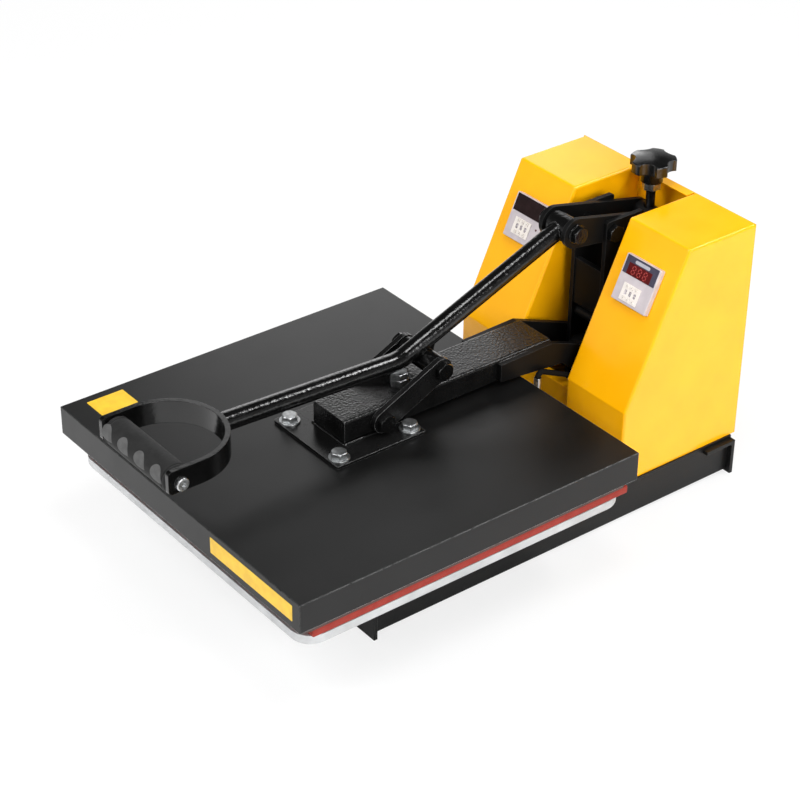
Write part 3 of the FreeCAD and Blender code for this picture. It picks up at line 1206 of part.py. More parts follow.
def switch_rocker():
    """Rocker of the power switch, its upper end pressed in."""
    half_w = SWITCH_WIDTH / 2 - SWITCH_GAP - SWITCH_WALL - SWITCH_SIDE_GAP
    depth, keel = SWITCH_KEEL
    edge = SWITCH_FACE - SWITCH_TIP_THICK
    outline = [(-depth, -keel), (edge, -SWITCH_HALF), (SWITCH_FACE, -SWITCH_HALF),
               (SWITCH_FACE - SWITCH_DISH, 0), (SWITCH_FACE, SWITCH_HALF), (edge, SWITCH_HALF),
               (-depth, keel)]
    reach = half_w + SWITCH_SIDE_GAP / 2
    pin = rod_x((-SWITCH_PIN_IN, 0), SWITCH_PIN_R, -reach, reach)
    rocker = slab_x(outline, -half_w, half_w).fuse(pin)
    rocker.rotate(Vector(0, -SWITCH_PIN_IN, 0), Vector(1, 0, 0), SWITCH_TILT)
    return rocker.translate(Vector(TOWER_MID, PANEL_FRONT, FITTING_Z))


def mains_inlet():
    """Appliance inlet with three blades and a drawer for the fuse."""
    w, h = INLET_WIDTH / 2, INLET_HEIGHT / 2
    face = SHEET + INLET_PROUD
    lap = INLET_LAP + INLET_GAP
    body = block(-w + lap, w - lap, -INLET_DEPTH, SHEET, -h + lap, h - lap)
    body = body.fuse(block(-w, w, SHEET, face, -h, h)).removeSplitter()
    wide, high, deep = INLET_WELL
    middle = -w + INLET_WELL_IN + wide / 2
    well = block(middle - wide / 2, middle + wide / 2, -deep, face, -high / 2, high / 2)
    well = softened(well, INLET_WELL_CORNER, lambda edge: runs_along(edge, Vector(0, 1, 0))
                    and edge.BoundBox.ZMin > 0)
    body = body.cut(well)
    across, tall = BLADE
    for column in (-1, 0, 1):
        x = middle + column * BLADE_PITCH
        z = -BLADE_RAISE / 2 + (BLADE_RAISE if column == 0 else 0)
        blade = block(x - across / 2, x + across / 2, -deep - across, -BLADE_TIP_IN,
                      z - tall / 2, z + tall / 2)
        body = body.fuse(blade)
    right = w - DRAWER_IN
    drawer = block(right - DRAWER_WIDTH, right, face - DRAWER_DEPTH, face, -high / 2, high / 2)
    return body.cut(drawer).translate(Vector(-TOWER_MID, PANEL_FRONT, FITTING_Z))


def write(name, shape):
    """Moves a part to the frame of the whole object and writes its file."""
    shape = shape.copy()
    shape.translate(Vector(0, -ORIGIN_Y, 0))
    shape.exportStep("parts/" + name + ".step")


def build():
    """Makes every part under its own name."""
    parts = {}
    bars = base_bars()
    parts["front_bar"], parts["rear_bar"] = bars
    parts["chassis_plate"] = chassis_plate()
    parts["platen_bearers"] = platen_bearers()
    parts["platen_bolts"] = platen_bolts()
    parts["lower_platen"] = lower_platen()
    parts["silicone_pad"] = silicone_pad()
    parts["upright_ties"] = upright_ties()
    parts["screw_anvil"] = screw_anvil()
    parts["main_axle"] = main_axle()
    parts["rocker_pivot_bolt"] = rocker_pivot_bolt()
    parts["arm_tube"] = arm_tube()
    parts["yoke_plates"] = yoke_plates()
    parts["mounting_plate"] = mounting_plate()
    parts["mounting_bolts"] = mounting_bolts()
    parts["top_cover"] = top_cover()
    parts["hot_plate"] = hot_plate()
    parts["heating_element"] = tube_along(element_path(), ELEMENT_R)
    parts["insulation"] = insulation()
    parts["lead_gland"] = lead_gland()
    parts["heater_lead"] = heater_lead()
    parts["lead_tail"] = lead_tail()
    parts["link_plates"] = link_plates()
    parts["link_bolts"] = link_bolts()
    parts["lever"] = lever()
    parts["handle_loop"] = handle_loop()
    parts["grip"] = grip()
    parts["handle_screws"] = handle_screws()
    parts["rocker_plates"] = rocker_plates()
    parts["lever_pin"] = lever_pin()
    parts["barrel_nut"] = barrel_nut()
    parts["pressure_screw"] = pressure_screw()
    parts["star_knob"] = star_knob()
    parts["housing_sill"] = housing_sill()
    parts["rear_panel"] = rear_panel()
    parts["rear_panel_screws"] = rear_panel_screws()
    parts["switch_frame"] = switch_frame()
    parts["switch_rocker"] = switch_rocker()
    parts["mains_inlet"] = mains_inlet()
    windows = []
    for side, hand in ((-1, "left"), (1, "right")):
        parts["rail_" + hand] = rail(side, bars)
        parts["upright_" + hand] = upright(side)
        parts["housing_" + hand] = tower(side)
        parts["controller_" + hand] = controller(side)
        windows.append(display_window(side))
        for name, x, y in key_spots(side):
            parts["key_" + hand + "_" + name] = key(x, y, side)
    parts["display_windows"] = Part.makeCompound(windows)
    return parts


os.makedirs("parts", exist_ok=True)
for part_name, part_shape in build().items():
    write(part_name, part_shape)
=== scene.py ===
import math

import bpy
import numpy as np
from mathutils import Matrix, Vector


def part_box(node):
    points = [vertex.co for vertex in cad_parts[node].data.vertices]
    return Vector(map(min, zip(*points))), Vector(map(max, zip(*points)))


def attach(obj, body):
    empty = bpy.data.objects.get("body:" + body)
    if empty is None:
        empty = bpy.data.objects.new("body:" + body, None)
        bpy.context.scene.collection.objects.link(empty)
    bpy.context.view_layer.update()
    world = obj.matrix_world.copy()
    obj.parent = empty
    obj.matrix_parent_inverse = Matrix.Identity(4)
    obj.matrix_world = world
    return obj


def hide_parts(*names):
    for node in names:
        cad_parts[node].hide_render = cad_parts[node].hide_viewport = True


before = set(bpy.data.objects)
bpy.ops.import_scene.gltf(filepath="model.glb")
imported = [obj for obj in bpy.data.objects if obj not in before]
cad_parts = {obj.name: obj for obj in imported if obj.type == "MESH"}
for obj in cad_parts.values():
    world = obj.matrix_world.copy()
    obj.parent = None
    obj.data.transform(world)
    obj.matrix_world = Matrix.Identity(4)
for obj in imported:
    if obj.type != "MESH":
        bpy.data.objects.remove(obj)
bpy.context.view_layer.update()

# Lengths are in millimetres, laid out as in the part's source: X to the right, Y from the cover's
# front edge to the back, Z up from the bench. spot() turns them into the frame's metres. The
# cover's edge itself is read from the frame, in metres.
COVER_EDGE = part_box("top_cover")[0].y
COVER_TOP = 140.4
MOUNT_TOP = 143.4
ARM_TOP = 168.4
PAD_SETBACK = 6.5

GRIP_AT = (-23.8, 199.6)
GRIP_R = 15.0
FOAM_R = GRIP_R - 0.45
GRIP_HALF = 52.5
GRIP_BORE = 4.2
INSET_FIRST, INSET_PITCH = -43.9, 27.2

LEVER_R = 9.5
LEVER_FOOT = (262.0, 194.2)
LEVER_PIN = (467.3, 275.0)
LEVER_RISE = 1.6
BOSS_R = 13.0
LOOP_OUTER = 57.5
LOOP_MID_Y = -2.0
LOOP_Z = 202.6
ROCKER_OUT = 19.4

MOUNT_BOLTS = ((-40, 160.5), (40, 160.5), (-40, 244.5), (40, 244.5))
LEVELLER_Y = 262.5
SHANK_R = 4.9
JAM_LOW = 282.4
THREAD_PITCH, THREAD_R, THREAD_SWING = 1.5, 4.55, 0.43

# A controller's slanted face: its lean, how far its middle is up the slope, where that is, how far
# its bezel stands out, then the places of its figures and keys.
FACE_TILT = math.atan2(160.2, 72.7)
FACE_UP = 121.3
FACE_AT = (83.25, 446.0 + FACE_UP * math.cos(FACE_TILT), 126.3 + FACE_UP * math.sin(FACE_TILT))
FACE_PROUD = 6.0
FIGURE_X, FIGURE_PITCH = -1.6, 6.3
FIGURE_Y = {-1: -8.9, 1: -11.9}
KEY_RISE, KEY_TOP = 6.2, 1.63

FILM_THICK, FILM_CORNER = 0.12, 1.0


def spot(points):
    """Millimetres of the layout to metres of the frame: a shift along Y and a scale of 1/1000."""
    return np.asarray(points, float) / 1000 + np.array([0.0, COVER_EDGE, 0.0])


def standing(x, y, z):
    """Place of something that stands upright: moved by (x, y, z) and turned into metres."""
    return lambda p: spot(p + np.array([x, y, z]))


def slope_spot(points, side):
    """A controller's own frame to metres of the frame.

    X stays across, Y turns to run up the slanted face and Z to stand out of it; the result is
    moved to the middle of the controller on that side (+1 right, -1 left).
    """
    local = np.asarray(points, float)
    along = np.array([0, math.cos(FACE_TILT), math.sin(FACE_TILT)])
    out = np.array([0, -math.sin(FACE_TILT), math.cos(FACE_TILT)])
    middle = np.array([FACE_AT[0] * side, FACE_AT[1], FACE_AT[2]])
    turned = local[..., :1] * np.array([1, 0, 0]) + local[..., 1:2] * along + local[..., 2:] * out
    return spot(turned + middle)


# Camera, matched to the photograph
AZIMUTH, ELEVATION, ROLL = math.radians(51.86), math.radians(32.21), math.radians(0.663)
LOOKS_AT = spot([-60.74, 311.5, 100.0])
AWAY = 2.27542
FOCAL_PIXELS, PICTURE_PIXELS = 2242.49, 800
SENSOR = 36.0

level = np.array([math.cos(AZIMUTH), math.sin(AZIMUTH), 0])
back = np.array([math.sin(AZIMUTH) * math.cos(ELEVATION), -math.cos(AZIMUTH) * math.cos(ELEVATION),
                 math.sin(ELEVATION)])
above = np.cross(back, level)
right = level * math.cos(ROLL) + above * math.sin(ROLL)
up = above * math.cos(ROLL) - level * math.sin(ROLL)
eye = bpy.data.objects.new("camera", bpy.data.cameras.new("camera"))
eye.data.sensor_width = SENSOR
eye.data.lens = SENSOR * FOCAL_PIXELS / PICTURE_PIXELS
eye.data.clip_start, eye.data.clip_end = 0.1, 50.0
eye.matrix_world = Matrix.Translation(Vector(LOOKS_AT + back * AWAY)) @ Matrix(
    [[*row] for row in np.column_stack([right, up, back])]).to_4x4()
bpy.context.scene.collection.objects.link(eye)
bpy.context.scene.camera = eye
bpy.context.scene.view_settings.view_transform = "Standard"


# Materials

def linear(text):
    """sRGB hex colour to the linear colour that a shader wants, by the sRGB curve."""
    value = np.array([int(text[k:k + 2], 16) for k in (1, 3, 5)]) / 255
    curve = np.where(value <= 0.04045, value / 12.92, ((value + 0.055) / 1.055) ** 2.4)
    return (*curve, 1.0)


def add(tree, kind, inputs=None, **settings):
    """Adds a node with its settings; an input is a value, or another node's output to link."""
    made = tree.nodes.new(kind)
    for name, value in settings.items():
        setattr(made, name, value)
    for name, value in (inputs or {}).items():
        if isinstance(value, bpy.types.NodeSocket):
            tree.links.new(value, made.inputs[name])
        else:
            made.inputs[name].default_value = value
    return made


def blank(name, inputs):
    """New material with a plain shader, and what its pattern is built on."""
    made = bpy.data.materials.new(name)
    made.use_nodes = True
    tree = made.node_tree
    shader = tree.nodes["Principled BSDF"]
    for socket, value in inputs.items():
        shader.inputs[socket].default_value = value
    where = add(tree, "ShaderNodeTexCoord").outputs["Object"]
    return made, tree, shader, where


def tones(tree, shader, where, size, dark, light):
    """Colour that drifts between two tones in patches of the given size in metres."""
    patches = add(tree, "ShaderNodeTexNoise", {"Vector": where, "Scale": 1 / size, "Detail": 3.0})
    ramp = add(tree, "ShaderNodeValToRGB", {"Fac": patches.outputs["Fac"]})
    ramp.color_ramp.elements[0].position = 0.35
    ramp.color_ramp.elements[0].color = linear(dark)
    ramp.color_ramp.elements[1].position = 0.65
    ramp.color_ramp.elements[1].color = linear(light)
    tree.links.new(ramp.outputs["Color"], shader.inputs["Base Color"])


def uneven_gloss(tree, shader, where, size, low, high):
    """Roughness that drifts between two values in patches of the given size in metres."""
    patches = add(tree, "ShaderNodeTexNoise", {"Vector": where, "Scale": 1 / size, "Detail": 4.0})
    spread = add(tree, "ShaderNodeMapRange", {"Value": patches.outputs["Fac"], "From Min": 0.3,
                                              "From Max": 0.7, "To Min": low, "To Max": high})
    tree.links.new(spread.outputs["Result"], shader.inputs["Roughness"])


def grain(tree, shader, height, depth, edge=0.0):
    """Bump of the given depth in metres, on top of edges softened over the given radius."""
    bump = add(tree, "ShaderNodeBump", {"Height": height, "Strength": 1.0, "Distance": depth})
    if edge:
        soft = add(tree, "ShaderNodeBevel", {"Radius": edge}, samples=4)
        tree.links.new(soft.outputs["Normal"], bump.inputs["Normal"])
    tree.links.new(bump.outputs["Normal"], shader.inputs["Normal"])


def painted_edge_highlight(made, radius, tone):
    """Painted edge highlight: a lighter tone within the radius of a sharp edge, broken up along it.

    It stands in for light caught by the rounded edges, not for wear. Near an edge the softened
    normal leans away from the face's own. Where the two differ, the colour moves to the tone,
    more or less by a noise with 6 mm patches.
    """
    tree = made.node_tree
    shader = tree.nodes["Principled BSDF"]
    plain = shader.inputs["Base Color"].links[0].from_socket
    soft = add(tree, "ShaderNodeBevel", {"Radius": radius}, samples=4)
    face = add(tree, "ShaderNodeNewGeometry").outputs["True Normal"]
    lean = add(tree, "ShaderNodeVectorMath", {0: soft.outputs["Normal"], 1: face}, operation="DOT_PRODUCT")
    near = add(tree, "ShaderNodeMapRange", {"Value": lean.outputs["Value"], "From Min": 0.99,
                                            "From Max": 0.86})
    where = add(tree, "ShaderNodeTexCoord").outputs["Object"]
    patches = add(tree, "ShaderNodeTexNoise", {"Vector": where, "Scale": 1 / 0.006, "Detail": 4.0})
    highlight_breakup = add(tree, "ShaderNodeMapRange", {"Value": patches.outputs["Fac"], "From Min": 0.28,
                                              "From Max": 0.5})
    share = add(tree, "ShaderNodeMath", {0: near.outputs["Result"], 1: highlight_breakup.outputs["Result"]},
                operation="MULTIPLY")
    # Painted highlight: the base colour is lightened towards the tone along sharp edges.
    both = add(tree, "ShaderNodeMix", {0: share.outputs["Value"], 6: plain, 7: linear(tone)},
               data_type="RGBA")
    tree.links.new(both.outputs[2], shader.inputs["Base Color"])


def smooth_powder_coat(name, dark, light, rough, shine, peel, depth):
    """Polyester powder coat on folded sheet: even colour, faint orange peel, soft sheen.

    shine is the specular level; peel and depth are the orange peel's size and depth in metres.
    """
    made, tree, shader, where = blank(name, {"IOR": 1.5, "Specular IOR Level": shine})
    tones(tree, shader, where, 0.06, dark, light)
    uneven_gloss(tree, shader, where, 0.03, rough - 0.03, rough + 0.03)
    ripple = add(tree, "ShaderNodeTexNoise", {"Vector": where, "Scale": 1 / peel, "Detail": 1.0})
    grain(tree, shader, ripple.outputs["Fac"], depth, 0.0008)
    return made


def wrinkled_powder_coat():
    """Wrinkle powder coat on sawn tube: a pebbled skin that breaks up every highlight.

    The real pebbles are about 1 mm; at 2.1 mm they show in the render.
    """
    made, tree, shader, where = blank("powder_coat_black_wrinkled", {"IOR": 1.5, "Specular IOR Level": 0.34})
    tones(tree, shader, where, 0.02, "#090909", "#0f0f0f")
    uneven_gloss(tree, shader, where, 0.02, 0.20, 0.28)
    pebbles = add(tree, "ShaderNodeTexVoronoi", {"Vector": where, "Scale": 1 / 0.0021,
                                                 "Smoothness": 0.7}, feature="SMOOTH_F1")
    drift = add(tree, "ShaderNodeTexNoise", {"Vector": where, "Scale": 1 / 0.003, "Detail": 2.0})
    skin = add(tree, "ShaderNodeMath", {0: pebbles.outputs["Distance"], 1: drift.outputs["Fac"]},
               operation="ADD")
    grain(tree, shader, skin.outputs["Value"], 0.0003, 0.0009)
    return made


def gloss_enamel(name, depth, rough=0.14):
    """Baked gloss enamel on bright steel: deep black, mirror highlights with a slow wobble."""
    made, tree, shader, where = blank(name, {"IOR": 1.5})
    tones(tree, shader, where, 0.05, "#060606", "#0b0b0b")
    uneven_gloss(tree, shader, where, 0.012, rough - 0.04, rough + 0.04)
    runs = add(tree, "ShaderNodeTexNoise", {"Vector": where, "Scale": 1 / 0.0036, "Detail": 2.5})
    grain(tree, shader, runs.outputs["Fac"], depth, 0.0007)
    return made


def zinc_plated(name, dark, light, rough):
    """Zinc plating on forged steel: pale grey metal with a fine wiped haze."""
    made, tree, shader, where = blank(name, {"Metallic": 1.0})
    tones(tree, shader, where, 0.004, dark, light)
    uneven_gloss(tree, shader, where, 0.0015, rough - 0.06, rough + 0.1)
    haze = add(tree, "ShaderNodeTexNoise", {"Vector": where, "Scale": 1 / 0.0008, "Detail": 3.0})
    grain(tree, shader, haze.outputs["Fac"], 0.00003, 0.0005)
    return made


def turned_steel():
    """Carbon steel, rolled thread and black oxide: dark, oily, brighter on the crests."""
    made, tree, shader, where = blank("carbon_steel_black_oxide", {"Metallic": 1.0})
    tones(tree, shader, where, 0.006, "#1b1b1c", "#2c2c2d")
    uneven_gloss(tree, shader, where, 0.004, 0.28, 0.42)
    rings = add(tree, "ShaderNodeTexWave", {"Vector": where, "Scale": 1 / 0.004, "Distortion": 0.6},
                bands_direction="Z")
    grain(tree, shader, rings.outputs["Fac"], 0.00003, 0.0004)
    return made


def cast_aluminium():
    """Gravity-cast aluminium, shot-peened: pale, dull, dimpled skin with small pores."""
    made, tree, shader, where = blank("aluminium_cast_peened", {"Metallic": 0.85})
    tones(tree, shader, where, 0.03, "#c0c1c2", "#d2d3d4")
    uneven_gloss(tree, shader, where, 0.006, 0.5, 0.66)
    dimples = add(tree, "ShaderNodeTexNoise", {"Vector": where, "Scale": 1 / 0.0014, "Detail": 4.0,
                                               "Roughness": 0.6})
    grain(tree, shader, dimples.outputs["Fac"], 0.00022, 0.0008)
    return made


def ptfe_coat_and_painted_shade():
    """PTFE sprayed and baked on milled aluminium: dark brown, waxy, with a faint spray grain.
    The dark brown is the coat's own and also painted shade: it is kept this dark so that the
    plate's edge below the cover's skirt reads as shadow.
    """
    made, tree, shader, where = blank("ptfe_brown_painted_shade", {"IOR": 1.38})
    tones(tree, shader, where, 0.02, "#46302c", "#523a35")
    uneven_gloss(tree, shader, where, 0.01, 0.36, 0.46)
    spray = add(tree, "ShaderNodeTexNoise", {"Vector": where, "Scale": 1 / 0.0009, "Detail": 3.0})
    grain(tree, shader, spray.outputs["Fac"], 0.00004, 0.0006)
    return made


def silicone_foam():
    """Closed-cell silicone foam sheet, skived: matt brick red with cut cells on its edges."""
    made, tree, shader, where = blank("silicone_foam_red_skived", {"IOR": 1.41, "Sheen Weight": 0.03,
                                                                  "Specular IOR Level": 0.3})
    tones(tree, shader, where, 0.012, "#8f3027", "#98372d")
    uneven_gloss(tree, shader, where, 0.005, 0.62, 0.78)
    cells = add(tree, "ShaderNodeTexVoronoi", {"Vector": where, "Scale": 1 / 0.0013})
    grain(tree, shader, cells.outputs["Distance"], 0.00025)
    return made


def ceramic_blanket():
    """Needled ceramic fibre: off-white felt with loose fibres lying both ways."""
    made, tree, shader, where = blank("ceramic_fibre_needled", {"Roughness": 0.95, "Sheen Weight": 0.3})
    tones(tree, shader, where, 0.01, "#d9d5cb", "#f0ede6")
    stretched = add(tree, "ShaderNodeMapping", {"Vector": where, "Scale": (1.0, 0.15, 1.0)})
    fibres = add(tree, "ShaderNodeTexNoise", {"Vector": stretched.outputs["Vector"],
                                              "Scale": 1 / 0.0012, "Detail": 6.0})
    grain(tree, shader, fibres.outputs["Fac"], 0.0006)
    return made


def element_sheath():
    """Incoloy heater sheath, heated many times: brown-grey oxide with straw patches."""
    made, tree, shader, where = blank("incoloy_oxidised", {"Metallic": 1.0})
    tones(tree, shader, where, 0.015, "#4c443c", "#71675a")
    uneven_gloss(tree, shader, where, 0.004, 0.45, 0.62)
    scale = add(tree, "ShaderNodeTexNoise", {"Vector": where, "Scale": 1 / 0.0009, "Detail": 4.0})
    grain(tree, shader, scale.outputs["Fac"], 0.00006)
    return made


def grip_foam(name, dark, light):
    """Moulded nitrile foam: matt charcoal skin, softly pebbled, with a faint even sheen."""
    made, tree, shader, where = blank(name, {"IOR": 1.45, "Sheen Weight": 0.05,
                                             "Specular IOR Level": 0.3})
    tones(tree, shader, where, 0.006, dark, light)
    uneven_gloss(tree, shader, where, 0.003, 0.7, 0.86)
    pores = add(tree, "ShaderNodeTexNoise", {"Vector": where, "Scale": 1 / 0.0007, "Detail": 3.0})
    grain(tree, shader, pores.outputs["Fac"], 0.00012)
    return made


def phenolic():
    """Compression-moulded phenolic: near black, waxy gloss, faint flow marks."""
    made, tree, shader, where = blank("phenolic_black_moulded", {"IOR": 1.56})
    tones(tree, shader, where, 0.01, "#070707", "#0d0d0d")
    uneven_gloss(tree, shader, where, 0.006, 0.16, 0.26)
    flow = add(tree, "ShaderNodeTexNoise", {"Vector": where, "Scale": 1 / 0.003, "Detail": 2.0})
    grain(tree, shader, flow.outputs["Fac"], 0.00006, 0.0008)
    return made


def abs_plastic(name, dark, light, rough, edge=0.0003):
    """Injection-moulded ABS: even colour with a fine spark-eroded texture."""
    made, tree, shader, where = blank(name, {"IOR": 1.53})
    tones(tree, shader, where, 0.01, dark, light)
    uneven_gloss(tree, shader, where, 0.004, rough - 0.04, rough + 0.04)
    spark = add(tree, "ShaderNodeTexNoise", {"Vector": where, "Scale": 1 / 0.0004, "Detail": 2.0})
    grain(tree, shader, spark.outputs["Fac"], 0.000015, edge)
    return made


def smoked_window(name, dark, light):
    """Smoked acrylic window over a dark board: glossy, almost flat, with the faintest haze."""
    made, tree, shader, where = blank(name, {"IOR": 1.49, "Specular IOR Level": 0.15})
    tones(tree, shader, where, 0.008, dark, light)
    uneven_gloss(tree, shader, where, 0.006, 0.1, 0.16)
    return made


def controller_case():
    """Moulded ABS case in cool grey, with its raised setting block in cream.

    The cream begins where a point lies more than 0.4 mm above the bezel's face: the distance along
    the slanted face's outward direction is compared with that height.
    """
    made = abs_plastic("abs_grey_and_cream_moulded", "#bdb4b8", "#c7bec1", 0.42)
    tree = made.node_tree
    shader = tree.nodes["Principled BSDF"]
    plain = shader.inputs["Base Color"].links[0].from_socket
    height = slope_spot([0, 0, FACE_PROUD + 0.4], 1)
    out = slope_spot([0, 0, 1000], 1) - slope_spot([0, 0, 0], 1)
    where = add(tree, "ShaderNodeTexCoord").outputs["Object"]
    reach = add(tree, "ShaderNodeVectorMath", {0: where, 1: tuple(out)}, operation="DOT_PRODUCT")
    raised = add(tree, "ShaderNodeMath", {0: reach.outputs["Value"], 1: float(height @ out)},
                 operation="GREATER_THAN")
    both = add(tree, "ShaderNodeMix", {0: raised.outputs["Value"], 6: plain, 7: linear("#eae2db")},
               data_type="RGBA")
    tree.links.new(both.outputs[2], shader.inputs["Base Color"])
    return made


def glowing_segment():
    """Segment of a red LED display behind its filter: lit from inside, dim in daylight."""
    red = linear("#8e2420")
    made, tree, shader, where = blank("led_segment_dim", {"Roughness": 0.4, "Base Color": red,
                                                          "Emission Strength": 0.1})
    patches = add(tree, "ShaderNodeTexNoise", {"Vector": where, "Scale": 1 / 0.001})
    ramp = add(tree, "ShaderNodeValToRGB", {"Fac": patches.outputs["Fac"]})
    ramp.color_ramp.elements[0].color = red
    ramp.color_ramp.elements[1].color = linear("#e0463c")
    tree.links.new(ramp.outputs["Color"], shader.inputs["Emission Color"])
    return made


def braided_sleeve():
    """Braided glass sleeve, varnished black: strands that cross 1.6 mm apart, dull and slightly fuzzy."""
    made, tree, shader, where = blank("glass_sleeve_braided", {"Specular IOR Level": 0.1, "Roughness": 0.75})
    strands = []
    for lean in (1.0, -1.0):
        turned = add(tree, "ShaderNodeMapping", {"Vector": where, "Rotation": (lean * 0.785, 0, 0)})
        band = add(tree, "ShaderNodeTexWave", {"Vector": turned.outputs["Vector"], "Scale": 0.314 / 0.0016},
                   bands_direction="Y")
        strands.append(band.outputs["Fac"])
    weave = add(tree, "ShaderNodeMath", {0: strands[0], 1: strands[1]}, operation="MAXIMUM")
    ramp = add(tree, "ShaderNodeValToRGB", {"Fac": weave.outputs["Value"]})
    ramp.color_ramp.elements[0].color = linear("#050505")
    ramp.color_ramp.elements[1].color = linear("#131313")
    tree.links.new(ramp.outputs["Color"], shader.inputs["Base Color"])
    grain(tree, shader, weave.outputs["Value"], 0.0002)
    return made


# After its two tones a powder coat has its roughness, its shine and its orange peel's size and depth.
COVER_COAT = smooth_powder_coat("powder_coat_black_satin", "#0d0d0d", "#111111", 0.31, 0.25, 0.0016, 8e-6)
FRAME_COAT = smooth_powder_coat("powder_coat_black_frame", "#0e0e0e", "#131313", 0.36, 0.22, 0.0022, 6e-5)
YELLOW_COAT = smooth_powder_coat("powder_coat_yellow_gloss", "#fbaf03", "#ffb606", 0.22, 0.45, 0.002, 1.2e-5)
DULL_COAT = smooth_powder_coat("powder_coat_black_dull", "#0e0e0e", "#131313", 0.36, 0.1, 0.0022, 6e-5)
PLATE_COAT = smooth_powder_coat("powder_coat_black_plate", "#0d0d0d", "#131313", 0.26, 0.35, 0.0016, 6e-5)
WRINKLE_COAT = wrinkled_powder_coat()
ENAMEL = gloss_enamel("enamel_black_gloss", 0.00045)
LEVER_ENAMEL = gloss_enamel("enamel_black_sprayed", 0.0003, 0.17)
STRIP_ENAMEL = gloss_enamel("enamel_black_on_strip", 0.00012)
ZINC = zinc_plated("zinc_plated_steel", "#a9abac", "#c9cbcc", 0.3)
DULL_ZINC = zinc_plated("zinc_plated_steel_dulled", "#9a9c9d", "#bcbebf", 0.36)
BLACK_STEEL = turned_steel()
PLATEN_SKIN = cast_aluminium()
# The hot plate's dark coat is partly painted shade, for the strip under the cover's skirt.
HOT_SKIN = ptfe_coat_and_painted_shade()
FOAM_RED = silicone_foam()
BLANKET = ceramic_blanket()
SHEATH = element_sheath()
GRIP_SKIN = grip_foam("nitrile_foam_charcoal", "#151515", "#1d1d1d")
INSET_SKIN = grip_foam("nitrile_foam_grey", "#4b4b4b", "#565656")
KNOB_SKIN = phenolic()
CASE_PLASTIC = controller_case()
KEY_PLASTIC = abs_plastic("abs_cream_moulded", "#e4dbd3", "#ebe3db", 0.38, 0.0002)
BLACK_PLASTIC = abs_plastic("polyamide_black_moulded", "#0e0e0e", "#141414", 0.4)
SLEEVE = braided_sleeve()
SLATE_WINDOW = smoked_window("acrylic_window_slate", "#3f3c4b", "#494656")
BROWN_WINDOW = smoked_window("acrylic_window_smoked", "#1f1313", "#261819")
RED_FILTER = smoked_window("acrylic_filter_red", "#4c1213", "#5a1819")
SEGMENT = glowing_segment()
DARK_SEGMENT = smoked_window("led_lamp_unlit", "#4a1414", "#5c1a18")
PRINT_BLACK = abs_plastic("screen_ink_black", "#0b0b0e", "#121216", 0.5, 0.0)
PRINT_GREY = abs_plastic("screen_ink_silver", "#a7a5ad", "#b3b1b8", 0.45, 0.0)
YELLOW_FILM = abs_plastic("vinyl_film_yellow", "#deb010", "#e9be18", 0.35, 0.0)

# Sharp edges get a painted highlight, a lighter tone where light would catch their rounding: radius in metres
# and tone.
for coat, edge_radius, edge_tone in ((COVER_COAT, 0.0012, "#9a9a9a"), (PLATE_COAT, 0.001, "#6a6a6a"),
                                     (WRINKLE_COAT, 0.001, "#5c5c5c"), (DULL_COAT, 0.0008, "#3c3c3c")):
    painted_edge_highlight(coat, edge_radius, edge_tone)

# The finish of each node of the frame; a node that isn't listed is one of the push keys.
FINISH = {
    "front_bar": FRAME_COAT, "rear_bar": FRAME_COAT, "rail_left": FRAME_COAT, "rail_right": FRAME_COAT,
    "chassis_plate": FRAME_COAT, "platen_bearers": FRAME_COAT, "platen_bolts": ZINC,
    "lower_platen": PLATEN_SKIN, "upright_left": DULL_COAT, "upright_right": DULL_COAT,
    "upright_ties": DULL_COAT, "screw_anvil": FRAME_COAT, "main_axle": ENAMEL,
    "rocker_pivot_bolt": ENAMEL, "housing_left": YELLOW_COAT, "housing_right": YELLOW_COAT,
    "housing_sill": YELLOW_COAT, "rear_panel": YELLOW_COAT, "rear_panel_screws": ZINC,
    "controller_left": CASE_PLASTIC, "controller_right": CASE_PLASTIC, "display_windows": SLATE_WINDOW,
    "switch_frame": BLACK_PLASTIC, "mains_inlet": BLACK_PLASTIC, "lead_tail": SLEEVE,
    "arm_tube": WRINKLE_COAT, "yoke_plates": DULL_COAT, "mounting_plate": PLATE_COAT,
    "mounting_bolts": DULL_ZINC, "top_cover": COVER_COAT, "hot_plate": HOT_SKIN, "heating_element": SHEATH,
    "lead_gland": ZINC, "heater_lead": SLEEVE, "link_plates": PLATE_COAT, "link_bolts": ENAMEL,
    "rocker_plates": DULL_COAT, "lever_pin": ENAMEL, "lever": LEVER_ENAMEL, "handle_loop": STRIP_ENAMEL,
    "handle_screws": ZINC, "barrel_nut": FRAME_COAT, "pressure_screw": BLACK_STEEL,
    "star_knob": KNOB_SKIN, "switch_rocker": BLACK_PLASTIC, "silicone_pad": FOAM_RED,
    "insulation": BLANKET, "grip": GRIP_SKIN,
}
for node_name, node_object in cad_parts.items():
    chosen = FINISH.get(node_name, KEY_PLASTIC)
    node_object.data.materials.clear()
    node_object.data.materials.append(chosen)


# Shapes

